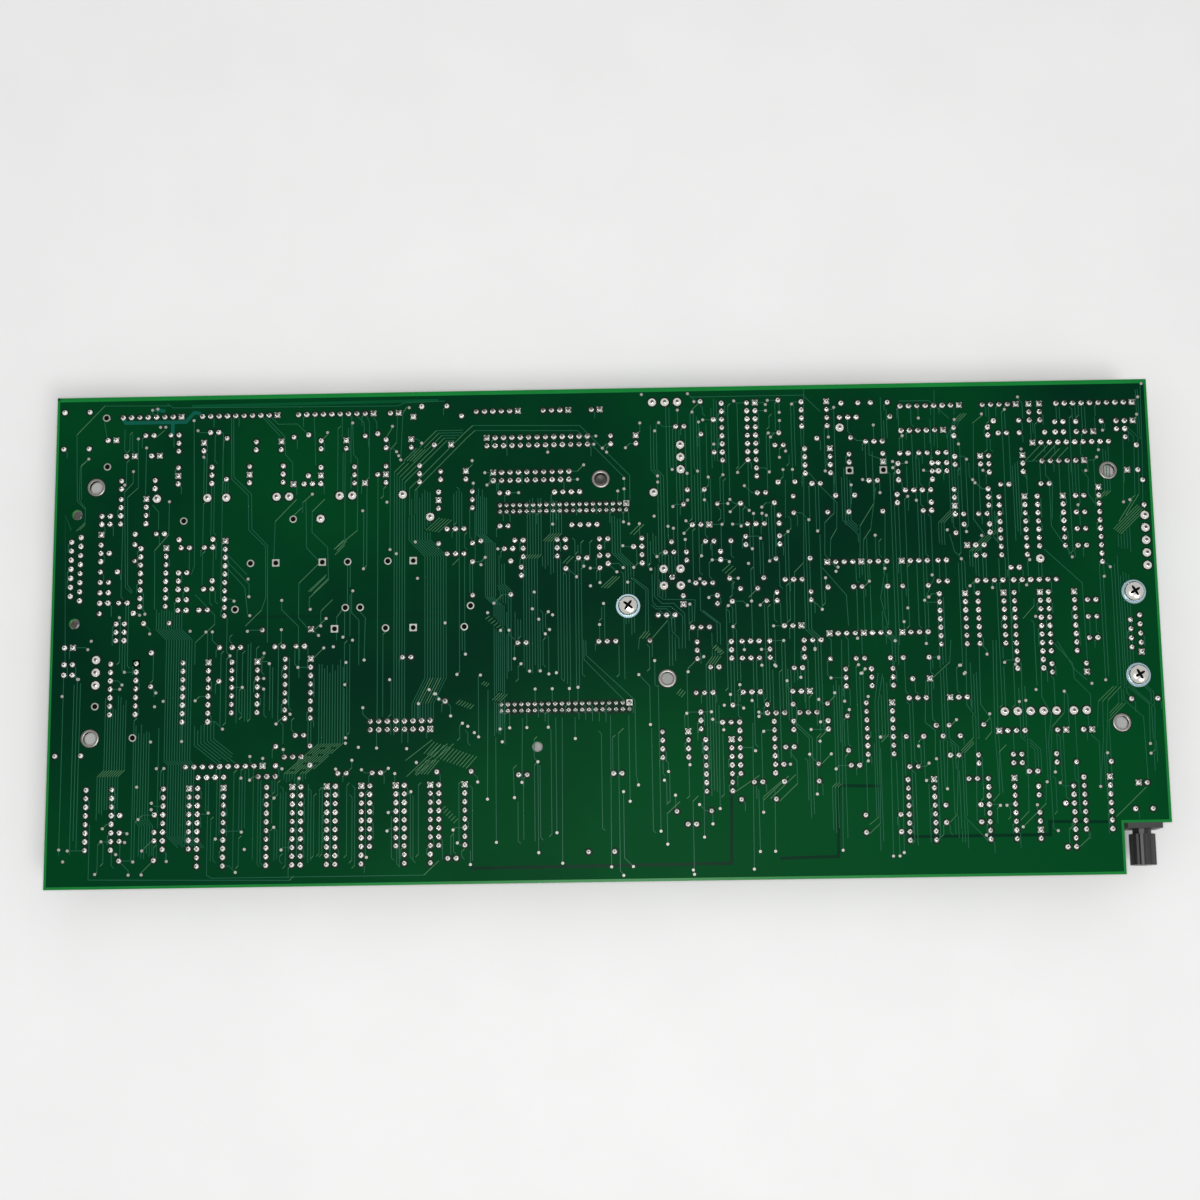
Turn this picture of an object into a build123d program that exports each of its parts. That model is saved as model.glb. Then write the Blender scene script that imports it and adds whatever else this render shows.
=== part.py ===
from build123d import *
import os
from math import cos, pi, radians, sin, tan

# Driving dimensions in millimetres. The board lies solder side up, so every component hangs below it.
STEP = 0.635                # grid of 25 thousandths of an inch that all the leads stand on
BOARD_LENGTH = 330.2
BOARD_WIDTH = 148.6
BOARD_THICKNESS = 1.6
STANDING_HEIGHT = 12.5      # of the connectors and capacitors that the board stands on
GRID_FROM_LEFT = 1.71       # left edge to the first grid line
GRID_FROM_FRONT = 2.41      # front edge to the first grid line
NOTCH_LENGTH = 14.0
NOTCH_WIDTH = 14.9
MOUNT_HOLE_R = 2.0
SCREW_HOLE_R = 1.6
JOINT_R = 0.95              # foot of a solder joint
JOINT_HEIGHT = 1.0
JOINT_SIDES = 3
PIN_SIDES = 3
HEAVY_JOINT_R = 1.45
ROUND_SIDES = 12            # of small round parts, which have flat sides to keep the faces few

UNDERSIDE = STANDING_HEIGHT
TOPSIDE = UNDERSIDE + BOARD_THICKNESS
PITCH = 4 * STEP            # lead pitch of chips, networks and headers
ROW_GAP = 12                # steps between the two rows of a chip

# Places are in grid steps: x to the right and y to the back, seen on the solder side.
# Chips: left row x, front pin y, pins in a row.
CHIPS = [
    (68, 6, 10), (100, 6, 10), (116, 6, 10), (132, 6, 10), (164, 6, 10), (450, 92, 10),
    (16, 14, 8), (52, 14, 8), (148, 14, 8), (180, 14, 8), (397, 13, 8), (434, 13, 8),
    (60, 73, 8), (108, 74, 8), (466, 100, 8), (39, 128, 8), (315, 194, 8), (445, 146, 8),
    (478, 17, 7), (304, 37, 7), (379, 53, 7), (26, 77, 7), (83, 77, 7), (415, 104, 7),
    (433, 104, 7), (463, 150, 7),
    (284, 53, 4), (29, 168, 4), (354, 187, 4), (353, 210, 4),
    (370, 85, 3),
]

# Resistor networks: first lead, leads, then x and y steps from lead to lead.
NETWORKS = [
    (62, 52, 10, 4, 0), (462, 200, 10, 4, 0), (331, 186, 10, 0, 4), (492, 142, 10, 0, 4),
    (79, 123, 10, 0, 4), (363, 144, 4, 4, 0), (379, 144, 4, 4, 0), (398, 144, 4, 4, 0),
    (363, 110, 4, 4, 0), (379, 110, 4, 4, 0), (397, 110, 4, 4, 0),
]

# Single-row pin headers: first pin, pins.
WIRE_HEADERS = [
    (29, 220, 8), (67, 220, 10), (113, 220, 10), (157, 220, 2), (198, 220, 6), (230, 220, 4),
    (253, 220, 2), (400, 219, 8), (439, 219, 5), (474, 219, 10), (400, 207, 6), (466, 191, 6),
]
# Double-row pin headers: front left pin, pins in a row.
BLOCK_HEADERS = [(203, 203, 13), (206, 186, 10), (148, 68, 8)]

# Screw terminal blocks: first pin, pins, x and y steps from pin to pin.
TERMINAL_BLOCKS = [
    (513, 140, 5, 0, 6), (282, 223, 3, 6, 0), (295, 190, 3, 0, 6), (19, 91, 3, 0, 6),
    (443, 72, 5, 6, 0), (475, 72, 2, 6, 0),
]

# Jumper headers of three pins: first pin, x and y steps from pin to pin.
JUMPERS = [
    (108, 56, 4, 0), (96, 47, 4, 0), (348, 73, 4, 0), (333, 73, 4, 0), (483, 205, 4, 0),
    (502, 210, 4, 0), (461, 211, 0, 4), (466, 211, 0, 4),
]

# Resistors and diodes that lie along x: first lead, lead spacing.
FLAT_ALONG_X = [
    (320, 69, 16), (320, 65, 16), (320, 61, 16), (320, 57, 16), (320, 53, 16), (320, 49, 16),
    (320, 45, 16), (320, 33, 16), (345, 69, 16), (345, 65, 16), (345, 77, 16), (317, 77, 16),
    (301, 107, 16), (301, 103, 16), (301, 99, 16), (335, 107, 16), (335, 103, 16), (335, 99, 16),
    (290, 28, 16), (457, 37, 16), (457, 33, 16), (457, 25, 16), (457, 21, 16), (457, 17, 16),
    (457, 13, 16), (414, 29, 16), (414, 21, 16), (377, 25, 16), (377, 17, 16), (475, 48, 16),
    (104, 61, 16), (104, 52, 16), (32, 30, 16), (32, 22, 16), (32, 18, 16), (32, 9, 16),
    (1, 58, 12), (249, 10, 12), (502, 77, 12), (397, 98, 12), (363, 98, 12), (179, 48, 16),
    (417, 66, 16), (56, 195, 16), (56, 191, 16), (56, 187, 16), (90, 195, 16), (90, 191, 16),
    (90, 187, 16), (124, 194, 16), (124, 190, 16), (124, 186, 16), (155, 194, 16), (155, 190, 16),
    (155, 186, 16), (398, 191, 16), (398, 187, 16), (398, 183, 16), (441, 194, 16), (441, 190, 16),
    (441, 186, 16), (56, 207, 12), (56, 203, 12), (93, 207, 12), (93, 203, 12), (124, 207, 12),
    (124, 203, 12), (155, 207, 12), (155, 203, 12), (425, 208, 16), (425, 204, 16), (181, 191, 12),
    (181, 187, 12), (180, 181, 16), (180, 177, 16), (180, 173, 16), (180, 156, 16), (220, 157, 16),
    (220, 153, 16), (220, 149, 16), (240, 157, 16), (240, 153, 16), (240, 143, 16), (260, 157, 16),
    (260, 149, 16), (260, 145, 16), (325, 157, 16), (325, 153, 16), (297, 150, 16), (297, 146, 16),
    (323, 173, 16), (296, 173, 16), (290, 155, 16), (295, 129, 16), (295, 125, 16), (339, 130, 16),
    (339, 126, 16), (339, 146, 16), (318, 126, 16), (317, 137, 16), (424, 178, 16), (424, 174, 16),
    (424, 170, 16), (424, 157, 16), (428, 161, 12), (375, 132, 16), (363, 132, 16), (398, 132, 12),
    (379, 98, 12), (262, 203, 12), (262, 207, 12),
    (444, 211, 12), (456, 205, 12), (483, 210, 12), (360, 204, 16), (375, 196, 16), (375, 192, 16),
    (374, 168, 16), (348, 168, 16), (348, 176, 20), (377, 176, 20), (397, 172, 16), (20, 163, 16),
    (20, 158, 16), (20, 150, 16), (20, 125, 16), (57, 160, 16), (57, 140, 16), (41, 120, 12),
    (29, 189, 16), (29, 185, 16), (1, 223, 12), (1, 205, 12), (172, 223, 12), (168, 218, 23),
    (200, 157, 16),
]
# The same along y.
FLAT_ALONG_Y = [
    (370, 55, 16), (45, 90, 16), (77, 92, 16), (79, 189, 20), (118, 190, 20), (151, 190, 20),
    (111, 186, 23), (145, 186, 23), (305, 207, 16), (311, 198, 16), (342, 207, 16),
    (214, 131, 16), (196, 131, 16), (506, 186, 16), (511, 186, 12), (513, 169, 12),
]

# Ceramic capacitors along x: left lead, lead spacing.
CAPACITORS_ALONG_X = [
    (116, 186, 4),
    (133, 48, 4), (149, 48, 4), (184, 8, 4), (217, 46, 4), (261, 46, 4), (217, 108, 4),
    (163, 102, 4), (113, 66, 4), (113, 108, 4), (103, 108, 4), (83, 108, 4), (68, 47, 4),
    (76, 47, 4), (307, 95, 4), (346, 94, 4), (341, 57, 4), (326, 41, 4), (295, 22, 4),
    (312, 69, 4), (371, 48, 4), (398, 47, 4), (417, 52, 4), (425, 41, 4),
    (446, 52, 4), (446, 48, 4), (453, 44, 4), (469, 29, 4), (469, 9, 4), (484, 116, 4),
    (484, 106, 4), (484, 124, 4), (4, 109, 4), (4, 101, 4), (4, 96, 4), (397, 61, 8),
    (414, 61, 8), (401, 88, 8), (355, 107, 4), (440, 63, 4), (448, 63, 4), (467, 63, 4),
    (479, 63, 4), (20, 172, 4), (20, 168, 4), (20, 154, 4), (20, 145, 8), (20, 140, 4),
    (20, 135, 4), (20, 130, 4), (29, 130, 4), (58, 156, 4), (69, 156, 4), (57, 144, 4),
    (57, 136, 4), (69, 136, 4), (57, 131, 4), (57, 126, 4), (67, 126, 4), (46, 163, 4),
    (22, 209, 4), (31, 201, 4), (43, 201, 4), (40, 211, 4), (52, 211, 4), (71, 212, 4),
    (178, 204, 8), (293, 211, 4), (340, 201, 4), (331, 178, 4), (357, 182, 4),
    (298, 180, 8), (211, 153, 4), (209, 180, 4), (235, 180, 4), (243, 180, 4), (209, 164, 4),
    (243, 164, 4), (251, 164, 4), (246, 148, 4), (272, 153, 4), (287, 150, 4), (322, 132, 8),
    (310, 155, 8), (341, 183, 8), (372, 221, 8), (386, 221, 8), (383, 202, 4), (384, 183, 4),
    (399, 196, 4), (408, 196, 4), (417, 196, 4), (417, 191, 4), (417, 187, 4), (401, 178, 4),
    (409, 178, 4), (409, 168, 4), (446, 205, 4), (473, 205, 4), (473, 210, 4), (446, 180, 4),
    (465, 180, 4), (424, 166, 4), (435, 166, 4), (433, 146, 4), (449, 140, 4), (433, 134, 4),
    (441, 134, 4), (450, 134, 4), (458, 134, 4), (466, 134, 4), (415, 144, 4), (415, 134, 4),
    (481, 174, 4), (481, 166, 4), (481, 158, 4), (481, 150, 4), (502, 206, 4), (28, 120, 4),
    (28, 116, 4), (28, 112, 4),
]
# The same along y, from the front lead.
CAPACITORS_ALONG_Y = [
    (430, 48, 4), (466, 48, 4), (466, 90, 4), (482, 90, 4), (322, 99, 8), (326, 99, 8),
    (330, 99, 8), (356, 41, 8), (340, 41, 8), (219, 140, 4), (341, 163, 4), (425, 190, 4),
    (437, 190, 4),
]

# Transistors and other parts with three leads in a row: first lead, x and y steps to the next.
THREE_LEADS = [
    (302, 66, 0, 4), (299, 114, 4, 0), (342, 114, 4, 0),
    (300, 83, 4, 0), (322, 83, 4, 0), (345, 83, 4, 0),
    (399, 79, 4, 0), (418, 79, 4, 0), (255, 108, 4, 0), (184, 163, 4, 0), (184, 151, 4, 0),
    (300, 163, 4, 0), (326, 163, 4, 0), (301, 135, 4, 0), (343, 136, 4, 0), (283, 120, 4, 0),
    (371, 214, 4, 0), (429, 151, 4, 0), (392, 85, 0, 4),
]

# Tall electrolytic capacitors: two leads along x, can diameter in millimetres.
CANS = [(70, 180, 9, 8.0), (103, 180, 6, 5.0), (133, 180, 6, 5.0)]

# Posts that stand alone.
POSTS = [(97, 116), (120, 116), (411, 66), (279, 108), (256, 149), (395, 214), (391, 202), (183, 81)]
HEAVY_POSTS = [(46, 180), (124, 169), (163, 180), (176, 169), (282, 179), (371, 209), (463, 144)]

COAX_JACK = (290, 138)
COAX_HALF_SPAN = 4

# Processor module: two sockets of two rows of twenty contacts, 2 mm apart.
SOCKET_PITCH = 2.0
SOCKET_CONTACTS = 20
SOCKET_LEFT = 209.1
SOCKET_ROWS = [77.4, 172.4]
MODULE_SPAN = (203, 66, 279, 183)
MODULE_EAR = (247, 183, 279, 194)      # tab round the second spacer
MODULE_DROP = 6.3
MODULE_THICKNESS = 1.2

# D connectors: centre, contacts, distance between fixing holes, shell length.
D_ROW_GAP = 2.84
D_PITCH = 2.77
D_DEPTH = 7.9
D_FLANGE_DEPTH = 12.0
D_SHELL_HEIGHT = 5.9
D_FLANGE_THICKNESS = 1.0
D_CONNECTORS = {
    "connector_9way": (505.7, 107.7, 9, 24.99, 30.8, 16.4),
    "connector_15way": (8.2, 146.6, 15, 33.32, 39.1, 24.7),
}

# Fixing places.
CORNER_HOLES = [(17, 66), (497, 66), (17, 186), (497, 186)]
INNER_HOLES = [(286.8, 90), (257, 186)]
MODULE_SCREW = (269, 124.5)
PEG_HOLE = (225.8, 59)

# Fibre receptacle in the notch.
FIBRE_X = 505
FIBRE_PINS = [(503, 38), (507, 38), (501, 26), (509, 26)]
FIBRE_AXIS_DROP = 5.0       # axis below the board's top
FIBRE_WIDTH = 10.2
FIBRE_DEPTH = 14.0          # of the block under the board
FIBRE_FLANGE = 1.6
FIBRE_NECK = 1.5
FIBRE_NECK_R = 2.75
FIBRE_BORE_R = 1.15
NUT_R = 3.8
NUT_ROOT_R = 3.45
NUT_LENGTH = 9.0
NUT_RIBS = 12


def at(x, y, z=0.0):
    """Point in millimetres of a place in grid steps. The origin is under the board's centre."""
    return Vector(
        x * STEP + GRID_FROM_LEFT - BOARD_LENGTH / 2,
        y * STEP + GRID_FROM_FRONT - BOARD_WIDTH / 2,
        z,
    )


def hung_box(place, length, width, height, gap=0.0):
    """Box under the board, its top the gap below the underside."""
    middle = UNDERSIDE - gap - height / 2
    return Pos(place.X, place.Y, middle) * Box(length, width, height)


def flat_sided(corners, faces):
    """Solid with flat faces, each face listed anticlockwise from outside."""
    walls = [Face(Wire.make_polygon([corners[i] for i in face])) for face in faces]
    return Solid(Shell(walls))


def spike(place, radius, height, sides, root_z, down=False):
    """Pyramid with a regular foot: a solder joint on the board, or a header pin below it."""
    turn = pi / sides
    foot = [
        place + Vector(radius * cos(turn + 2 * pi * i / sides), radius * sin(turn + 2 * pi * i / sides), root_z)
        for i in range(sides)
    ]
    tip = place + Vector(0, 0, root_z - height if down else root_z + height)
    ring = list(range(sides))
    slopes = [[i, (i + 1) % sides, sides] for i in ring]
    faces = [ring[::-1]] + slopes
    if down:
        faces = [face[::-1] for face in faces]
    return flat_sided(foot + [tip], faces)


def export(solids, node):
    """Write one node. Several separate solids make one group."""
    shapes = [piece for shape in solids for piece in shape.solids()]
    export_step(shapes[0] if len(shapes) == 1 else Compound(shapes), f"parts/{node}.step")


def run(x, y, count, dx, dy):
    """Places of a row of leads."""
    return [(x + i * dx, y + i * dy) for i in range(count)]


# Circuit board

def circuit_board():
    outline = Rectangle(BOARD_LENGTH, BOARD_WIDTH)
    notch = Pos(BOARD_LENGTH / 2 - NOTCH_LENGTH / 2, -BOARD_WIDTH / 2 + NOTCH_WIDTH / 2)
    outline -= notch * Rectangle(NOTCH_LENGTH, NOTCH_WIDTH)
    for x, y in CORNER_HOLES + INNER_HOLES:
        outline -= Pos(at(x, y)) * Circle(MOUNT_HOLE_R)
    for place in [at(*MODULE_SCREW), at(*PEG_HOLE)] + d_fixing_places():
        outline -= Pos(place) * Circle(SCREW_HOLE_R)
    return Pos(0, 0, UNDERSIDE) * extrude(outline, BOARD_THICKNESS)


# Chips

CHIP_WAIST = 6.9
CHIP_HEIGHT = 3.4
CHIP_GAP = 0.5
CHIP_END = 0.95             # body past the end lead's middle
CHIP_DRAFT = 7
LEG_SHOULDER = 0.7
LEG_THICKNESS = 0.3


def chip(x, y, pins):
    """Moulded body, widest at the parting line where the legs come out."""
    centre = at(x + ROW_GAP / 2, y + 2 * (pins - 1))
    length = (pins - 1) * PITCH + 2 * CHIP_END
    half = CHIP_HEIGHT / 2
    lean = half * tan(radians(CHIP_DRAFT))
    waist_z = UNDERSIDE - CHIP_GAP - half
    corners = []
    for inset, z in ((lean, waist_z - half), (0, waist_z), (lean, waist_z + half)):
        a, b = CHIP_WAIST / 2 - inset, length / 2 - inset
        corners += [centre + Vector(*corner, z) for corner in ((-a, -b), (a, -b), (a, b), (-a, b))]
    faces = [[3, 2, 1, 0], [8, 9, 10, 11]]
    for level in (0, 4):
        for i in range(4):
            j = (i + 1) % 4
            faces.append([level + i, level + j, level + 4 + j, level + 4 + i])
    return flat_sided(corners, faces)


def leg(x, y, side):
    """Chip leg: a wide shoulder at the body's waist, narrowing to the lead in the board."""
    centre_x = at(x + (0 if side < 0 else ROW_GAP), y)
    waist_x = centre_x.X - side * (ROW_GAP * STEP - CHIP_WAIST) / 2
    waist_z = UNDERSIDE - CHIP_GAP - CHIP_HEIGHT / 2
    foot = [centre_x.X - side * LEG_THICKNESS / 2, centre_x.X + side * LEG_THICKNESS / 2]
    corners = [
        Vector(waist_x, centre_x.Y - LEG_SHOULDER, waist_z),
        Vector(waist_x, centre_x.Y + LEG_SHOULDER, waist_z),
        Vector(foot[0], centre_x.Y, UNDERSIDE),
        Vector(foot[1], centre_x.Y, UNDERSIDE),
    ]
    faces = [[0, 1, 2], [0, 3, 1], [0, 2, 3], [1, 3, 2]]
    if side < 0:
        faces = [face[::-1] for face in faces]
    return flat_sided(corners, faces)


# Small parts

def network(x, y, leads, dx, dy):
    middle = at(x + dx * (leads - 1) / 2, y + dy * (leads - 1) / 2)
    long_side = leads * PITCH - 0.4
    sides = (long_side, 2.5) if dx else (2.5, long_side)
    return hung_box(middle, *sides, 5.0, gap=0.3)


def axial(x, y, spacing, turned):
    """Resistor or diode lying under the board, with its wires left to their joints."""
    middle = at(x + (0 if turned else spacing / 2), y + (spacing / 2 if turned else 0))
    thickness, length = (2.3, 6.4) if spacing <= 16 else (3.4, 8.5)
    sides = (thickness, length) if turned else (length, thickness)
    return hung_box(middle, *sides, thickness)


def capacitor(x, y, spacing, turned):
    """Dipped disc standing on edge, as a body with eight faces."""
    middle = at(x + (0 if turned else spacing / 2), y + (spacing / 2 if turned else 0))
    length, width, height = (5.0, 2.4, 5.0) if spacing <= 4 else (7.4, 2.4, 6.4)
    a, b = (width / 2, length / 2) if turned else (length / 2, width / 2)
    waist = UNDERSIDE - height / 2
    corners = [
        middle + Vector(*corner)
        for corner in (
            (a, 0, waist), (0, b, waist), (-a, 0, waist), (0, -b, waist),
            (0, 0, UNDERSIDE - height), (0, 0, UNDERSIDE),
        )
    ]
    faces = []
    for i in range(4):
        j = (i + 1) % 4
        faces += [[i, j, 5], [j, i, 4]]
    return flat_sided(corners, faces)


def transistor(x, y, dx, dy):
    """Small transistor: one flat face, and a back that narrows as its round one does."""
    middle = at(x + dx, y + dy)
    outline = Polygon((-2.3, 1.2), (-1.2, -1.9), (1.2, -1.9), (2.3, 1.2), align=None)
    body = extrude(outline, 4.8)
    return Pos(middle.X, middle.Y, UNDERSIDE - 4.8) * (Rot(0, 0, 90) * body if dy else body)


def can(x, y, spacing, diameter):
    middle = at(x + spacing / 2, y)
    body = extrude(RegularPolygon(diameter / 2, ROUND_SIDES), STANDING_HEIGHT)
    return Pos(middle.X, middle.Y, 0) * body


WIRE_BASE_HEIGHT = 3.2
BLOCK_BASE_HEIGHT = 2.5
PIN_R = 0.5
POST_R = 0.7


def wire_header(x, y, pins):
    """Friction lock header: base strip and the lock wall along its back."""
    middle = at(x + 2 * (pins - 1), y)
    length = pins * PITCH
    base = hung_box(middle, length, 6.0, WIRE_BASE_HEIGHT)
    wall = hung_box(middle + Vector(0, 2.5, 0), length - PITCH, 1.0, 9.5)
    return base + wall


def block_header(x, y, pins):
    middle = at(x + 2 * (pins - 1), y + 2)
    return hung_box(middle, pins * PITCH, 2 * PITCH, BLOCK_BASE_HEIGHT)


def jumper(x, y, dx, dy):
    middle = at(x + dx, y + dy)
    sides = (3 * PITCH, 2.4) if dx else (2.4, 3 * PITCH)
    return hung_box(middle, *sides, BLOCK_BASE_HEIGHT)


TERMINAL_DEPTH = 8.4


def terminal_block(x, y, pins, dx, dy):
    """Screw terminal block, deeper towards the middle of the board, with chamfered outer edges."""
    first, last = at(x, y), at(x + dx * (pins - 1), y + dy * (pins - 1))
    pitch = 6 * STEP
    length = pins * pitch
    profile = Polygon(
        (-TERMINAL_DEPTH / 2, 0), (TERMINAL_DEPTH / 2, 0), (TERMINAL_DEPTH / 2, -7.5),
        (TERMINAL_DEPTH / 2 - 2.2, -STANDING_HEIGHT), (-TERMINAL_DEPTH / 2 + 1.2, -STANDING_HEIGHT),
        (-TERMINAL_DEPTH / 2, -9.0), align=None,
    )
    block = extrude(Plane.XZ * profile, length / 2, both=True)
    centre = (first + last) / 2
    if dx:
        block = Rot(0, 0, 90) * block
    offset = Vector(-1.6, 0, 0) if x > 500 else Vector(0, 0, 0)
    return Pos(centre + offset + Vector(0, 0, UNDERSIDE)) * block


def coax_jack():
    place = at(*COAX_JACK)
    base = hung_box(place, 6.6, 6.6, 2.6)
    barrel = Pos(place.X, place.Y, UNDERSIDE - 10.0) * extrude(RegularPolygon(2.4, ROUND_SIDES), 7.4)
    return base + barrel


# Processor module

def module_spacer_places():
    return [at(*MODULE_SCREW), at(*INNER_HOLES[1])]


def module_span():
    left, front, right, back = MODULE_SPAN
    low, high = at(left, front), at(right, back)
    return (low + high) / 2, high.X - low.X, high.Y - low.Y


def module_board():
    """Module's own board, with a tab round the second spacer."""
    middle, length, width = module_span()
    left, front, right, back = MODULE_EAR
    low, high = at(left, front) - middle, at(right, back) - middle
    board = Rectangle(length, width)
    board += Pos((low.X + high.X) / 2, (low.Y + high.Y) / 2) * Rectangle(high.X - low.X, high.Y - low.Y)
    for place in module_spacer_places():
        board -= Pos(place.X - middle.X, place.Y - middle.Y) * Circle(SCREW_HOLE_R)
    return Pos(middle.X, middle.Y, UNDERSIDE - MODULE_DROP - MODULE_THICKNESS) * extrude(board, MODULE_THICKNESS)


def module_sockets():
    length = SOCKET_CONTACTS * SOCKET_PITCH
    x = SOCKET_LEFT + (SOCKET_CONTACTS - 1) * SOCKET_PITCH / STEP / 2
    return [hung_box(at(x, row), length, 4.6, 4.3) for row in SOCKET_ROWS]


def module_plugs():
    length = SOCKET_CONTACTS * SOCKET_PITCH
    x = SOCKET_LEFT + (SOCKET_CONTACTS - 1) * SOCKET_PITCH / STEP / 2
    return [hung_box(at(x, row), length, 4.0, 2.0, gap=4.3) for row in SOCKET_ROWS]


def module_chips():
    """Square processor and two memory chips on the module's outer face."""
    face = MODULE_DROP + MODULE_THICKNESS
    middle, length, width = module_span()
    processor = extrude(Rectangle(24.0, 24.0), 2.6, taper=6)
    memory = extrude(Rectangle(13.0, 22.0), 2.4, taper=6)
    down = Rot(180, 0, 0)
    z = UNDERSIDE - face
    return {
        "processor_chip": [Pos(middle.X - 3, middle.Y - 4, z) * (down * processor)],
        "memory_chips": [
            Pos(middle.X + side * 9.5, middle.Y + 22.5, z) * (down * memory) for side in (-1, 1)
        ],
    }


def hexagon_spacer(place, height, bore):
    ring = RegularPolygon(2.5, 6, major_radius=False) - RegularPolygon(bore, ROUND_SIDES)
    return Pos(place.X, place.Y, UNDERSIDE - height) * extrude(ring, height)


# D connectors

def d_outline(length, depth, corner):
    """D shape lying along y, its long side towards +x, with sides leaning ten degrees."""
    lean = depth * tan(radians(10))
    half = depth / 2
    shape = Polygon(
        (half, -length / 2), (half, length / 2), (-half, length / 2 - lean), (-half, -length / 2 + lean),
        align=None,
    )
    return chamfer(shape.vertices(), corner)


def d_fixing_places():
    return [
        at(x, y) + Vector(0, side * gap / 2, 0)
        for x, y, contacts, gap, flange, shell in D_CONNECTORS.values()
        for side in (-1, 1)
    ]


def d_contacts(contacts, x, y):
    """Leads of a D connector in grid steps: the longer row on the +x side."""
    longer = (contacts + 1) // 2
    places = []
    for row, count in ((0.5, longer), (-0.5, contacts - longer)):
        for i in range(count):
            places.append((x + row * D_ROW_GAP / STEP, y + (i - (count - 1) / 2) * D_PITCH / STEP))
    return places


def d_connector(name):
    x, y, contacts, gap, flange, shell = D_CONNECTORS[name]
    place = at(x, y)
    rear = STANDING_HEIGHT - D_SHELL_HEIGHT - D_FLANGE_THICKNESS
    plate = Rectangle(D_FLANGE_DEPTH, flange)
    plate -= d_outline(shell - 1.0, D_DEPTH - 1.0, 1.4)
    for side in (-1, 1):
        plate -= Pos(0, side * gap / 2) * RegularPolygon(SCREW_HOLE_R, 8)
    wall = d_outline(shell, D_DEPTH, 1.7) - d_outline(shell - 1.0, D_DEPTH - 1.0, 1.4)
    metal = Pos(0, 0, D_SHELL_HEIGHT) * extrude(plate, D_FLANGE_THICKNESS)
    metal += extrude(wall, D_SHELL_HEIGHT)
    front = extrude(d_outline(shell - 1.0, D_DEPTH - 1.0, 1.4), D_SHELL_HEIGHT + D_FLANGE_THICKNESS)
    back = Pos(0, 0, D_SHELL_HEIGHT + D_FLANGE_THICKNESS) * extrude(
        Rectangle(D_FLANGE_DEPTH - 2.0, gap - 6.0), rear
    )
    spot = Pos(place.X, place.Y, 0)
    return {
        name + "_shell": [spot * metal],
        name + "_insulator": [spot * (front + back)],
    }


def spacers():
    """Hexagonal spacers of the D connectors and of the processor module."""
    rear = STANDING_HEIGHT - D_SHELL_HEIGHT - D_FLANGE_THICKNESS
    under_connectors = [hexagon_spacer(place, rear, SHANK_R) for place in d_fixing_places()]
    under_board = [hexagon_spacer(place, MODULE_DROP, SHANK_R) for place in module_spacer_places()]
    return under_connectors + under_board


# Fixing screws and washers

WASHER_R = 3.8
WASHER_THICKNESS = 0.6
HEAD_R = 2.8
SHANK_R = 1.5
HEAD_HEIGHT = 2.0


def screw_places():
    x, y, contacts, gap, flange, shell = D_CONNECTORS["connector_9way"]
    return [at(*MODULE_SCREW)] + [at(x, y) + Vector(0, side * gap / 2, 0) for side in (-1, 1)]


def screw():
    """Pan head screw through washer and board, into its spacer."""
    seat = TOPSIDE + WASHER_THICKNESS
    shank = Pos(0, 0, seat - 6.0) * extrude(RegularPolygon(SHANK_R, ROUND_SIDES), 6.0)
    head = Pos(0, 0, seat) * extrude(RegularPolygon(HEAD_R, ROUND_SIDES), 1.1)
    crown = Pos(0, 0, seat + 1.1) * extrude(RegularPolygon(HEAD_R, ROUND_SIDES), HEAD_HEIGHT - 1.1, taper=50)
    return shank + head + crown


def washer():
    ring = RegularPolygon(WASHER_R, ROUND_SIDES) - RegularPolygon(SHANK_R, ROUND_SIDES)
    return Pos(0, 0, TOPSIDE) * extrude(ring, WASHER_THICKNESS)


# Fibre receptacle: the block under the board, the flange in the notch and the ribbed lock nut

def fibre_body():
    axis_z = TOPSIDE - FIBRE_AXIS_DROP
    half = FIBRE_WIDTH / 2
    edge = -BOARD_WIDTH / 2 + NOTCH_WIDTH
    x = at(FIBRE_X, 0).X
    block = Pos(x, edge + FIBRE_DEPTH / 2, (UNDERSIDE + axis_z - half) / 2) * Box(
        FIBRE_WIDTH, FIBRE_DEPTH, UNDERSIDE - axis_z + half
    )
    flange = Pos(x, edge - FIBRE_FLANGE / 2, axis_z) * Box(FIBRE_WIDTH, FIBRE_FLANGE, FIBRE_WIDTH)
    half_neck = extrude(RegularPolygon(FIBRE_NECK_R, ROUND_SIDES), FIBRE_NECK / 2, both=True)
    neck = Pos(x, edge - FIBRE_FLANGE - FIBRE_NECK / 2, axis_z) * (Rot(90, 0, 0) * half_neck)
    return block + flange + neck


def fibre_nut():
    """Lock nut with its ribs, as a gear-like outline, and a hole for the fibre."""
    outline = []
    for i in range(NUT_RIBS):
        for part, radius in ((0.0, NUT_ROOT_R), (0.3, NUT_R), (0.7, NUT_R)):
            angle = 2 * pi * (i + part) / NUT_RIBS
            outline.append((radius * cos(angle), radius * sin(angle)))
    ring = Polygon(*outline, align=None) - Circle(FIBRE_BORE_R)
    nut = extrude(ring, NUT_LENGTH)
    edge = -BOARD_WIDTH / 2 + NOTCH_WIDTH - FIBRE_FLANGE - FIBRE_NECK
    return Pos(at(FIBRE_X, 0).X, edge, TOPSIDE - FIBRE_AXIS_DROP) * (Rot(90, 0, 0) * nut)


# Every lead that comes through the board, in grid steps

def pair(x, y, spacing, turned):
    return [(x, y), (x, y + spacing) if turned else (x + spacing, y)]


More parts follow.
